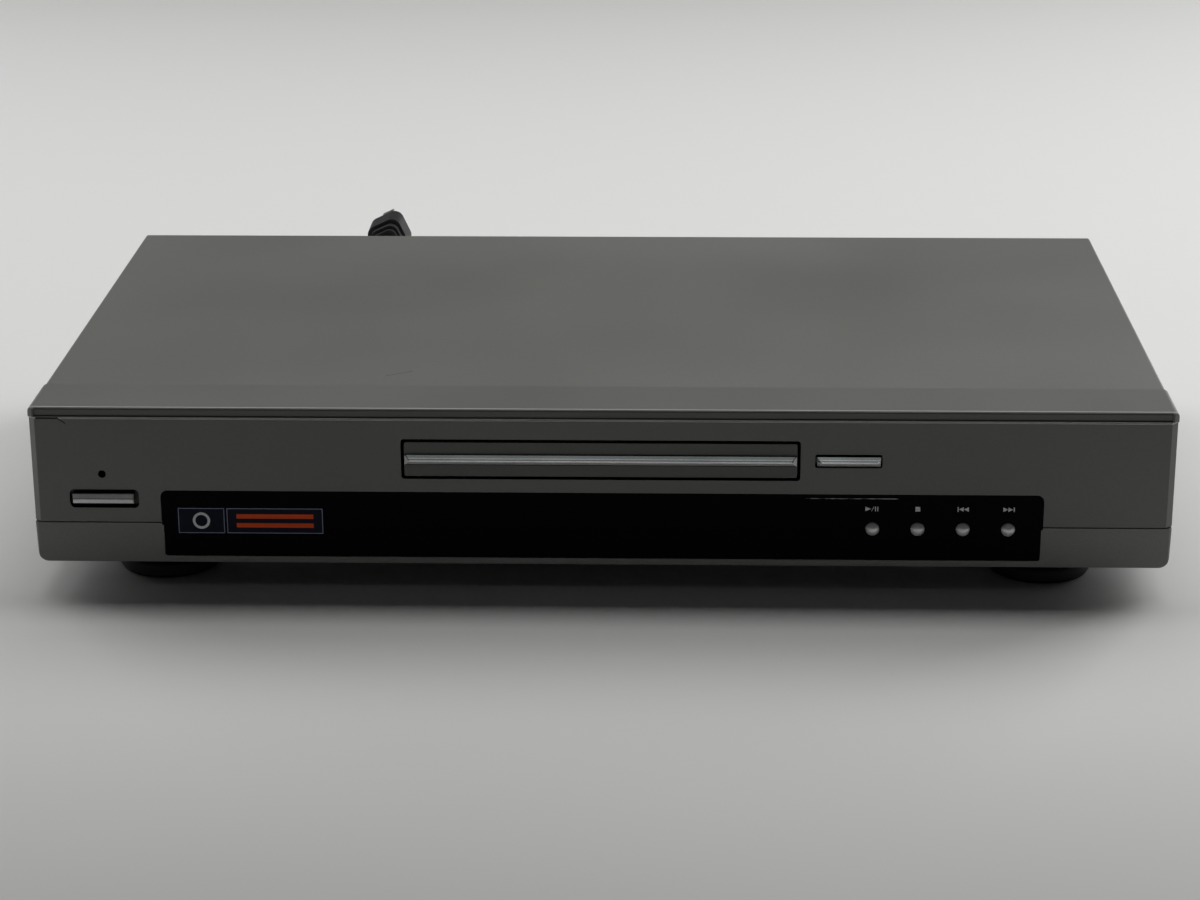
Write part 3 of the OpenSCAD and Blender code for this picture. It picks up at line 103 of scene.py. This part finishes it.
cord_line = bpy.data.curves.new("mains_cord", "CURVE")
cord_line.dimensions = "3D"
cord_line.bevel_depth = cord_radius
cord_line.bevel_resolution = 4
cord_line.resolution_u = 3
cord_line.use_fill_caps = True
cord_spline = cord_line.splines.new("BEZIER")
cord_spline.bezier_points.add(len(route) - 1)
for i, point in enumerate(cord_spline.bezier_points):
    before, here, after = (Vector(route[min(max(j, 0), len(route) - 1)]) for j in (i - 1, i, i + 1))
    heading = (after - before).normalized()
    # Where the cord lies on the table its line is level, so that it doesn't dip into it.
    if here.z <= min(before.z, after.z):
        heading.z = 0.0
    point.co = here
    point.handle_left_type = point.handle_right_type = "FREE"
    point.handle_left = here - heading * (here - before).length / 3
    point.handle_right = here + heading * (after - here).length / 3
mains_cord = bpy.data.objects.new("mains_cord", cord_line)
bpy.context.scene.collection.objects.link(mains_cord)


class Link:
    """A number, colour or direction inside a finish. Sums and products with it add Math nodes."""

    def __init__(self, finish, output):
        self.finish = finish
        self.output = output

    def maths(self, operation, *values):
        return self.finish.node("ShaderNodeMath", {"operation": operation}, dict(enumerate(values)))

    def __add__(self, other):
        return self.maths("ADD", self, other)

    def __sub__(self, other):
        return self.maths("SUBTRACT", self, other)

    def __rsub__(self, other):
        return self.maths("SUBTRACT", other, self)

    def __mul__(self, other):
        return self.maths("MULTIPLY", self, other)

    def __gt__(self, other):
        return self.maths("GREATER_THAN", self, other)

    def __lt__(self, other):
        return self.maths("LESS_THAN", self, other)

    def __abs__(self):
        return self.maths("ABSOLUTE", self)


class Finish:
    """The surface of one material: a Principled shader and the nodes that vary it."""

    def __init__(self, name, colour, roughness, metallic=0.0, coat=0.0, coat_roughness=0.1):
        self.material = bpy.data.materials.new(name)
        self.material.use_nodes = True
        self.tree = self.material.node_tree
        self.shader = self.tree.nodes["Principled BSDF"]
        self.shader.inputs["Base Color"].default_value = (*colour, 1.0)
        self.shader.inputs["Roughness"].default_value = roughness
        self.shader.inputs["Metallic"].default_value = metallic
        self.shader.inputs["Coat Weight"].default_value = coat
        self.shader.inputs["Coat Roughness"].default_value = coat_roughness

    def node(self, kind, settings, inputs, output=0):
        """Any node: its type, its settings, and the values or links of its sockets."""
        made = self.tree.nodes.new(kind)
        for key, value in settings.items():
            setattr(made, key, value)
        for socket, value in inputs.items():
            if isinstance(value, Link):
                self.tree.links.new(value.output, made.inputs[socket])
            else:
                made.inputs[socket].default_value = value
        return Link(self, made.outputs[output])

    def place(self):
        return self.node("ShaderNodeTexCoord", {}, {}, "Object")

    def axes(self):
        """X, Y and Z of the surface, in metres from the middle of the player's footprint."""
        split = self.tree.nodes.new("ShaderNodeSeparateXYZ")
        self.tree.links.new(self.place().output, split.inputs[0])
        return [Link(self, out) for out in split.outputs]

    def noise(self, scale, detail=3.0):
        return self.node("ShaderNodeTexNoise", {}, {"Vector": self.place(), "Scale": scale, "Detail": detail})

    def spread(self, value, low, high, to_low, to_high):
        """Maps a range of a value to another, held at both ends."""
        sockets = {"Value": value, "From Min": low, "From Max": high, "To Min": to_low, "To Max": to_high}
        return self.node("ShaderNodeMapRange", {}, sockets)

    def mix(self, mask, first, second, blend="MIX"):
        """Colour that goes from the first to the second as the mask goes from 0 to 1."""
        first, second = (c if isinstance(c, Link) else (*c, 1.0) for c in (first, second))
        settings = {"data_type": "RGBA", "blend_type": blend}
        return self.node("ShaderNodeMix", settings, {0: mask, 6: first, 7: second}, 2)

    def use(self, socket, value):
        self.tree.links.new(value.output, self.shader.inputs[socket])

    def bump(self, height, strength, distance):
        sockets = {"Height": height, "Strength": strength, "Distance": distance}
        self.use("Normal", self.node("ShaderNodeBump", {}, sockets))

    def dress(self, *names):
        """Puts the finish on CAD nodes, or on pieces given as objects."""
        for name in names:
            piece = nodes[name] if isinstance(name, str) else name
            piece.data.materials.clear()
            piece.data.materials.append(self.material)


def speckled(name, colour, roughness, scale=900.0, amount=0.12, bump=0.03, metallic=0.0, coat=0.0):
    """Finish whose colour and gloss vary a little at the scale of its grain."""
    finish = Finish(name, colour, roughness, metallic, coat)
    grain = finish.noise(scale)
    broad = finish.noise(14.0, 2.0)
    shade = finish.spread(grain * 0.7 + broad * 0.3, 0.35, 0.65, 0.0, 1.0)
    dark = tuple(c * (1 - amount) for c in colour)
    light = tuple(min(1.0, c * (1 + amount)) for c in colour)
    finish.use("Base Color", finish.mix(shade, dark, light))
    finish.use("Roughness", finish.spread(broad, 0.3, 0.7, roughness - 0.04, roughness + 0.04))
    finish.bump(grain, bump, 0.0001)
    return finish


sheath = speckled("cord_sheath", (0.018, 0.018, 0.018), 0.5, 1500.0)
sheath.dress(mains_cord, "cord_gland")
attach(mains_cord, "player")
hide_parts("power_cord", "cord_hank")

# ---------------------------------------------------------------- plug
# Moulded black plug in stepped, rounded squares, with a tapered bush, and two flat blades.
# The blades are plated brass and have dulled to a grey green. The tie of the hank is rubber.
plug = speckled("plug_moulding", (0.022, 0.022, 0.023), 0.5, 1300.0)
plug.shader.inputs["Specular IOR Level"].default_value = 0.3
plug.dress("plug_body")
speckled("plug_blade", (0.42, 0.44, 0.38), 0.34, 700.0, 0.2, metallic=0.9).dress("plug_blades")
speckled("tie_rubber", (0.03, 0.03, 0.03), 0.6).dress("hank_tie")

# ---------------------------------------------------------------- top cover
# Bent steel sheet in fine warm grey paint with a slight metallic sparkle.
# It carries one short slanting scratch near its front edge.
cover = Finish("cover_paint", (0.172, 0.172, 0.161), 0.46, 0.2)
cover_grain = cover.noise(2600.0, 2.0)
cover_cloud = cover.noise(6.0, 2.0)
cover_shade = cover.spread(cover_grain * 0.6 + cover_cloud * 0.4, 0.35, 0.65, 0.0, 1.0)
cover_x, cover_y, cover_z = cover.axes()
tick_x, tick_y, tick_slope = -0.0792, -0.0838, 0.6
tick_half_length, tick_half_width = 0.005, 0.0003
tick_run = cover_x - tick_x
tick_line = abs(tick_run * tick_slope - (cover_y - tick_y)) < tick_half_width
tick_mask = tick_line * (abs(tick_run) < tick_half_length) * (cover_z > 0.07)
cover_colour = cover.mix(cover_shade, (0.156, 0.156, 0.146), (0.188, 0.188, 0.176))
cover.use("Base Color", cover.mix(tick_mask, cover_colour, (0.06, 0.06, 0.058)))
cover.use("Roughness", cover.spread(cover_cloud, 0.3, 0.7, 0.40, 0.48))
cover.bump(cover_grain, 0.05, 0.0001)
cover.dress("top_cover")

# ---------------------------------------------------------------- front mouldings
# Moulded plastic in satin grey metallic paint, in two pieces, with painted shade that makes the face darker
# than the top.
# The nose has a band of painted shade, with a painted highlight line over and under it, and painted light on
# the left corner.
# The insides of the button holes are unpainted black plastic with painted shade, and there is a dark scratch
# at the top left.
front_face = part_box("tray_door")[0].y
face_top = 0.0692
# Heights of the nose, from the groove under it to the rounding of its edge
groove_low, band_low, nose_top, crest_low = 0.0688, 0.0696, 0.0727, 0.0729
bezel = Finish("bezel_paint", (0.155, 0.155, 0.147), 0.4, 0.2, coat=0.1, coat_roughness=0.3)
bezel_grain = bezel.noise(3200.0, 2.0)
bezel_cloud = bezel.noise(9.0, 2.0)
bezel_x, bezel_y, bezel_z = bezel.axes()
bezel_shade = bezel.spread(bezel_grain, 0.35, 0.65, 0.0, 1.0)
# Painted light and shade: the top is painted lighter than the face, for how the light falls on each.
lit_top_colour = bezel.mix(bezel_shade, (0.156, 0.156, 0.148), (0.184, 0.184, 0.174))
shaded_face_colour = bezel.mix(bezel_shade, (0.138, 0.138, 0.131), (0.158, 0.158, 0.150))
on_front = bezel_y < front_face + 0.0009
# Painted shade on the nose's band, and painted highlights on its edge rounding and on the lip over the
# groove.
nose_band_shade = on_front * (bezel_z > band_low) * (bezel_z < crest_low)
crest_highlight = (bezel_y < front_face + 0.0013) * (bezel_z > crest_low)
groove_highlight = on_front * (bezel_z > groove_low) * (bezel_z < band_low)
# Painted light on the left corner.
left_corner_light = (bezel_x < -0.2128) * (bezel_z < face_top)
# Near-black inside: unpainted black plastic, and painted shade in the holes.
unpainted_hole_shade = (bezel_y > front_face + 0.0004) * (bezel_z < groove_low) * (abs(bezel_x) < 0.212)
scratch_half_width = 0.0003
scratch_along = (bezel_x > -0.212) * (bezel_x < -0.204) * (abs(bezel_z - 0.0690) < scratch_half_width)
scratch_x, scratch_z, scratch_slope = -0.2024, 0.0681, -0.656
scratch_run = bezel_x - scratch_x
scratch_off = abs(bezel_z - scratch_z - scratch_run * scratch_slope)
scratch_down = (abs(scratch_run) < 0.0016) * (scratch_off < scratch_half_width)
bezel_colour = bezel.mix(bezel_z > nose_top, shaded_face_colour, lit_top_colour)
bezel_colour = bezel.mix(crest_highlight, bezel_colour, (0.34, 0.34, 0.33))
bezel_colour = bezel.mix(nose_band_shade, bezel_colour, (0.105, 0.105, 0.10))
bezel_colour = bezel.mix(groove_highlight, bezel_colour, (0.62, 0.62, 0.60))
bezel_colour = bezel.mix(left_corner_light, bezel_colour, (0.18, 0.18, 0.172))
bezel_colour = bezel.mix(scratch_along + scratch_down, bezel_colour, (0.012, 0.012, 0.012))
bezel.use("Base Color", bezel.mix(unpainted_hole_shade, bezel_colour, (0.004, 0.004, 0.004)))
bezel.use("Roughness", bezel.spread(bezel_cloud, 0.3, 0.7, 0.34, 0.42))
bezel.bump(bezel_grain, 0.04, 0.0001)
bezel.dress("front_bezel")
speckled("trim_paint", (0.196, 0.196, 0.187), 0.4, 3200.0, metallic=0.2).dress("lower_trim")

# Small rounding of the mouldings' edges, so that they catch the light as moulded edges do.
for name, width in (("front_bezel", 0.00025), ("lower_trim", 0.00025), ("tray_door", 0.0002)):
    rounding = nodes[name].modifiers.new("rounding", "BEVEL")
    rounding.width = width
    rounding.segments = 2
    rounding.limit_method = "ANGLE"
    rounding.angle_limit = math.radians(40)

# ---------------------------------------------------------------- display window
# Polished black acrylic, with faint hairline wear, over the display and round buttons.
window = Finish("window_acrylic", (0.0004, 0.0004, 0.0005), 0.08)
window.shader.inputs["Specular IOR Level"].default_value = 0.03
window_wear = window.noise(220.0, 4.0)
window_x, _, window_z = window.axes()
# Painted glint: a thin light line under the upper edge, by the play button, that stands for a reflection
glint_z, glint_half_width, glint_left, glint_right = 0.0387, 0.00014, 0.077, 0.112
glint_line = (abs(window_z - glint_z) < glint_half_width) * (window_x > glint_left) * (window_x < glint_right)
glint = glint_line * window.spread(window_wear, 0.42, 0.58, 0.1, 1.0)
window.use("Base Color", window.mix(glint, (0.0004, 0.0004, 0.0005), (0.6, 0.6, 0.6)))
window.use("Roughness", window.spread(window_wear, 0.45, 0.75, 0.07, 0.15))
window.dress("display_window")


def flat_shape(name, outlines, y, depth=0.00008):
    """Thin prisms that stand on a face at y, from outlines of (x, z) points in metres."""
    mesh = bmesh.new()
    for outline in outlines:
        front = [mesh.verts.new((x, y - depth, z)) for x, z in outline]
        back = [mesh.verts.new((x, y, z)) for x, z in outline]
        mesh.faces.new(front)
        mesh.faces.new(reversed(back))
        for i in range(len(outline)):
            j = (i + 1) % len(outline)
            mesh.faces.new((front[j], front[i], back[i], back[j]))
    bmesh.ops.recalc_face_normals(mesh, faces=mesh.faces)
    data = bpy.data.meshes.new(name)
    mesh.to_mesh(data)
    mesh.free()
    made = bpy.data.objects.new(name, data)
    bpy.context.scene.collection.objects.link(made)
    return made


# ---------------------------------------------------------------- symbols over the round buttons
# Pale printed play, pause, stop and skip signs on the window, one over each button.
# They are the usual signs of such keys and hold no lettering.
window_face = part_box("display_window")[0].y
sign_low, sign_high = 0.03375, 0.0356
sign_middle = (sign_low + sign_high) / 2


def arrow(x, width):
    """Triangle from a base at x to a tip one width away."""
    return [(x, sign_low), (x + width, sign_middle), (x, sign_high)]


def bar(x, width):
    return [(x, sign_low), (x + width, sign_low), (x + width, sign_high), (x, sign_high)]


button_x = [(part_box(n)[0].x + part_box(n)[1].x) / 2 for n in (
    "play_pause_button", "stop_button", "skip_back_button", "skip_forward_button")]
play_x, stop_x, back_x, forward_x = button_x
slash_x = play_x - 0.0002
thin = 0.0004
signs = [arrow(play_x - 0.0028, 0.0022), bar(play_x + 0.0008, thin), bar(play_x + 0.0017, thin)]
signs += [[(slash_x - 0.0003, sign_low), (slash_x - 0.0001, sign_low),
           (slash_x + 0.0007, sign_high), (slash_x + 0.0005, sign_high)]]
signs += [bar(stop_x - 0.0010, 0.0018)]
signs += [bar(back_x - 0.0022, thin), arrow(back_x + 0.0001, -0.0018), arrow(back_x + 0.0020, -0.0018)]
signs += [arrow(forward_x - 0.0021, 0.0018), arrow(forward_x - 0.0002, 0.0018)]
signs += [bar(forward_x + 0.0018, thin)]
button_signs = flat_shape("button_signs", signs, window_face)
speckled("sign_ink", (0.80, 0.81, 0.82), 0.5, 2000.0).dress(button_signs)
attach(button_signs, "player")

# ---------------------------------------------------------------- label on the window
# Two printed film labels side by side in near-black blue, with a border, a pale ring and orange bars.
# They are plain shapes with no lettering.
label_bottom, label_top = 0.0233, 0.0334
label_parts = [(-0.1602, -0.1426), (-0.1417, -0.1052)]
label_border = 0.0003
label_outlines = [
    [(a, label_bottom), (b, label_bottom), (b, label_top), (a, label_top)] for a, b in label_parts
]
window_label = flat_shape("window_label", label_outlines, window_face)
film = Finish("label_film", (0.004, 0.006, 0.02), 0.3)
film.shader.inputs["Specular IOR Level"].default_value = 0.1
film_x, _, film_z = film.axes()
label_mid_z = (label_bottom + label_top) / 2
half_height = (label_top - label_bottom) / 2
edge = abs(film_z - label_mid_z) > half_height - label_border
for a, b in label_parts:
    near = abs(film_x - (a + b) / 2)
    edge = edge + (near > (b - a) / 2 - label_border) * (near < (b - a) / 2 + 0.0001)
ring_radius, ring_half_width = 0.0028, 0.0005
ring_x = film_x - sum(label_parts[0]) / 2
ring_z = film_z - label_mid_z
ring_far = ring_x.maths("SQRT", ring_x * ring_x + ring_z * ring_z)
ring = abs(ring_far - ring_radius) < ring_half_width
bar_left, bar_right, bar_off, bar_half_width = -0.138, -0.1088, 0.0018, 0.0009
bars = (film_x > bar_left) * (film_x < bar_right) * (abs(abs(ring_z) - bar_off) < bar_half_width)
film_colour = film.mix(bars, (0.004, 0.006, 0.02), (0.95, 0.11, 0.02))
film_colour = film.mix(ring, film_colour, (0.88, 0.88, 0.90))
film.use("Base Color", film.mix(edge > 0.5, film_colour, (0.30, 0.33, 0.50)))
film.dress(window_label)
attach(window_label, "player")

# ---------------------------------------------------------------- tray door, bar and long buttons
# The door is painted plastic, a little darker than the front. The bar and the open button are
# plated over the ridge and satin under it. The power button is satin silver all over. All three carry bands
# of grey that are painted reflections and painted shade.
speckled("door_paint", (0.108, 0.108, 0.103), 0.4, 3200.0, metallic=0.2).dress("tray_door")
# Painted reflection and shade: grey of each band by the height over the ridge where it starts, in
# millimetres, from the top down
bar_reflection_bands = (
    (1.1, (0.47, 0.52, 0.52)), (0.7, (0.82, 0.84, 0.84)), (0.35, (0.32, 0.34, 0.34)),
    (-0.1, (0.98, 0.98, 0.97)), (-0.5, (0.82, 0.82, 0.81)), (-1.5, (0.46, 0.46, 0.45)),
)
power_reflection_bands = ((0.5, (0.72, 0.72, 0.71)), (0.0, (0.50, 0.50, 0.495)), (-1.7, (0.95, 0.95, 0.94)))
for name, reflection_bands, mitre, plating, gloss in (
    ("tray_door_bar", bar_reflection_bands, 0.0017, 1.0, 0.13),
    ("open_close_button", bar_reflection_bands, 0.0016, 1.0, 0.13),
    ("power_button", power_reflection_bands, 0.0003, 0.25, 0.34),
):
    low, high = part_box(name)
    silver = Finish(f"silver_{name}", (0.5, 0.5, 0.5), gloss)
    silver_x, silver_y, silver_z = silver.axes()
    silver_up = silver_z - (low.z + high.z) / 2
    shade = (0.03, 0.03, 0.03)
    for start, grey in reversed(reflection_bands):
        shade = silver.mix(silver_up > start * 0.001, shade, grey)
    # The mitred ends narrow towards the ridge, where they reach furthest in.
    from_end = (high.x - low.x) / 2 - abs(silver_x - (low.x + high.x) / 2)
    reach = mitre - abs(silver_up) * (mitre * 2 / (high.z - low.z)) - from_end
    mitre_top, seam_off, seam_half_width = 0.0018, 0.0003, 0.0002
    # Pale painted highlight on the mitred ends.
    shade = silver.mix((reach > 0.0) * (silver_up < mitre_top), shade, (0.95, 0.95, 0.94))
    seam = (abs(reach + seam_off) < seam_half_width) * (silver_up > 0.0002)
    shade = silver.mix(seam, shade, (0.05, 0.05, 0.05))
    tint = silver.spread(silver.noise(1800.0, 2.0), 0.35, 0.65, 0.94, 1.06)
    shade = silver.mix(1.0, shade, tint, "MULTIPLY")
    # Near-black painted shade on the faces behind the front.
    silver.use("Base Color", silver.mix(silver_y > front_face + 0.0004, shade, (0.01, 0.01, 0.01)))
    silver.use("Metallic", silver.spread((silver_up > 0.0) * (reach < 0.0), 0.0, 1.0, 0.12, plating))
    silver.use("Roughness", silver.spread(silver.noise(40.0), 0.3, 0.7, gloss - 0.03, gloss + 0.03))
    silver.dress(name)

# ---------------------------------------------------------------- round buttons and lamp
# Silver-painted domes, with painted light lower down and painted shade towards the top, and a dark tinted
# standby lamp.
key_middle = (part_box("stop_button")[0].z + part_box("stop_button")[1].z) / 2
key = Finish("round_key", (0.6, 0.6, 0.6), 0.3, 0.45, coat=0.4, coat_roughness=0.25)
_, key_y, key_z = key.axes()
key_height = key_z - key_middle + key.noise(1800.0, 2.0) * 0.0002
# Painted light and shade: lighter on the lower part of each dome, darker towards its top.
key_painted_shade = key.spread(key_height, 0.0002, 0.0016, 0.0, 1.0)
key_light_and_shade = key.mix(key_painted_shade, (0.96, 0.96, 0.95), (0.70, 0.70, 0.70))
# Near-black painted shade on the faces behind the front.
key.use("Base Color", key.mix(key_y > front_face + 0.0004, key_light_and_shade, (0.01, 0.01, 0.01)))
key.dress("play_pause_button", "stop_button", "skip_back_button", "skip_forward_button")
lamp = speckled("lamp_lens", (0.001, 0.001, 0.001), 0.6)
lamp.shader.inputs["Specular IOR Level"].default_value = 0.0
lamp.dress("standby_led")

# ---------------------------------------------------------------- feet
# Black moulded feet with a fine matt grain.
speckled("foot_moulding", (0.014, 0.014, 0.014), 0.55, 1200.0).dress(
    "front_left_foot", "front_right_foot", "rear_left_foot", "rear_right_foot"
)

# ---------------------------------------------------------------- chassis, rear panel and screws
# Zinc-plated base with its faint crystal pattern, painted rear panel, blackened and plain screws.
zinc = Finish("zinc_sheet", (0.45, 0.46, 0.47), 0.38, 0.9)
spangle = zinc.node("ShaderNodeTexVoronoi", {}, {"Vector": zinc.place(), "Scale": 160.0}, "Color")
spangle_grey = zinc.node("ShaderNodeRGBToBW", {}, {0: spangle})
zinc.use("Base Color", zinc.mix(spangle_grey, (0.40, 0.41, 0.42), (0.52, 0.53, 0.54)))
zinc.use("Roughness", zinc.spread(spangle_grey, 0.0, 1.0, 0.32, 0.46))
zinc.dress("bottom_chassis", "clamp_bridge")
speckled("panel_paint", (0.11, 0.11, 0.105), 0.45, 2600.0, metallic=0.2).dress("rear_panel")
speckled("screw_oxide", (0.02, 0.02, 0.02), 0.35, metallic=0.8).dress("case_screws")
speckled("screw_steel", (0.5, 0.5, 0.5), 0.3, metallic=1.0).dress("loader_screws", "guide_rods", "lead_screw")

# ---------------------------------------------------------------- tray and loader
# Black and dark grey mouldings with a fine texture, white acetal gears and plated motor cans.
speckled("tray_moulding", (0.02, 0.02, 0.02), 0.45, 1600.0).dress("disc_tray")
speckled("loader_moulding", (0.025, 0.025, 0.026), 0.5, 1400.0).dress("loader_frame", "traverse_frame")
speckled("acetal", (0.68, 0.67, 0.62), 0.4, 600.0, 0.04).dress(
    "clamp_disc", "pulley_gear", "drive_gear", "cam_slider"
)
speckled("motor_can", (0.5, 0.5, 0.52), 0.3, 500.0, 0.06, metallic=1.0).dress(
    "spindle_motor", "sled_motor", "loading_motor"
)
speckled("turntable_rubber", (0.03, 0.03, 0.03), 0.6, 1500.0).dress("turntable", "loading_belt")
speckled("sled_moulding", (0.05, 0.05, 0.055), 0.4, 1500.0).dress("pickup_sled")
speckled("lens_glass", (0.02, 0.02, 0.05), 0.08, coat=0.8).dress("pickup_lens")
speckled("turned_brass", (0.62, 0.5, 0.25), 0.28, 900.0, metallic=1.0).dress("motor_pulley")

# ---------------------------------------------------------------- boards and what stands on them
# Brown phenolic and green masked laminates, with chips, a taped transformer and capacitors.
speckled("phenolic", (0.26, 0.15, 0.06), 0.5, 700.0).dress("front_board", "power_board")
speckled("green_mask", (0.015, 0.11, 0.04), 0.3, 500.0, coat=0.3).dress("main_board")
speckled("chip_moulding", (0.02, 0.02, 0.02), 0.5).dress("decoder_chips", "tact_switches", "ir_receiver")
speckled("transformer_tape", (0.6, 0.42, 0.06), 0.45).dress("mains_transformer")
speckled("capacitor_sleeve", (0.02, 0.03, 0.12), 0.25, coat=0.4).dress("reservoir_capacitors")
speckled("extruded_aluminium", (0.6, 0.61, 0.63), 0.35, 800.0, metallic=1.0).dress("heat_sink")
speckled("display_glass", (0.03, 0.05, 0.05), 0.1, coat=0.6).dress("display_tube")
speckled("flat_cable", (0.65, 0.65, 0.62), 0.45).dress("ribbon_cables")

# ---------------------------------------------------------------- rear sockets
# Black moulded housings and nickel-plated shells.
speckled("socket_moulding", (0.02, 0.02, 0.02), 0.4).dress(
    "av_jack_housing", "s_video_socket", "optical_socket"
)
speckled("nickel_plate", (0.62, 0.6, 0.55), 0.2, 900.0, 0.05, metallic=1.0).dress("av_jack_shells")

# ---------------------------------------------------------------- table and light
# Pale grey surface, with painted light: lighter around the player, darker towards the front and the back.
# Soft lights above and behind the player leave its front in shade, and a
# weak narrow one over the front is what the plated ridges show.
floor_mesh = bmesh.new()
bmesh.ops.create_grid(floor_mesh, x_segments=1, y_segments=1, size=6.0)
floor_data = bpy.data.meshes.new("table_top")
floor_mesh.to_mesh(floor_data)
floor_mesh.free()
table_top = bpy.data.objects.new("table_top", floor_data)
bpy.context.scene.collection.objects.link(table_top)
paper = Finish("table_paper", (0.72, 0.72, 0.71), 0.6)
_, paper_y, _ = paper.axes()
# Painted light on the floor: lighter near the player, darker in front of it and far behind it.
paper_run = paper_y + paper.noise(3.0) * 0.05
near_painted_light = paper.spread(paper_run, -0.38, -0.16, 0.0, 1.0)
far_painted_falloff = paper.spread(paper_run, 0.2, 1.6, 0.0, 1.0)
paper_painted_light = paper.mix(near_painted_light, (0.60, 0.60, 0.585), (0.88, 0.88, 0.865))
paper.use("Base Color", paper.mix(far_painted_falloff, paper_painted_light, (0.56, 0.56, 0.55)))
paper.dress(table_top)


def softbox(name, place, aim, size, power):
    """Rectangular area light at a place, turned towards an aim."""
    data = bpy.data.lights.new(name, "AREA")
    data.shape = "RECTANGLE"
    data.size, data.size_y = size
    data.energy = power
    light = bpy.data.objects.new(name, data)
    light.location = place
    light.rotation_euler = (Vector(aim) - Vector(place)).to_track_quat("-Z", "Y").to_euler()
    bpy.context.scene.collection.objects.link(light)


softbox("overhead", (0.30, 0.34, 1.45), (0.30, 0.14, 0.0), (2.0, 0.42), 7.6)
softbox("rear", (0.10, 1.05, 1.30), (0.10, 0.10, 0.0), (2.0, 0.9), 6.6)
softbox("rear_left", (-1.30, 1.00, 0.80), (-0.10, 0.10, 0.0), (1.0, 1.2), 9.6)
softbox("rear_right", (1.40, 1.25, 0.90), (0.20, 0.10, 0.0), (1.0, 1.2), 19.0)
softbox("front_strip", (0.03, -0.96, 1.45), (0.03, -0.13, 0.05), (2.0, 0.10), 0.26)
sky = bpy.data.worlds.new("studio")
sky.use_nodes = True
sky.node_tree.nodes["Background"].inputs[0].default_value = (0.92, 0.95, 0.96, 1.0)
sky.node_tree.nodes["Background"].inputs[1].default_value = 0.018
bpy.context.scene.world = sky
bpy.context.scene.view_settings.view_transform = "Standard"
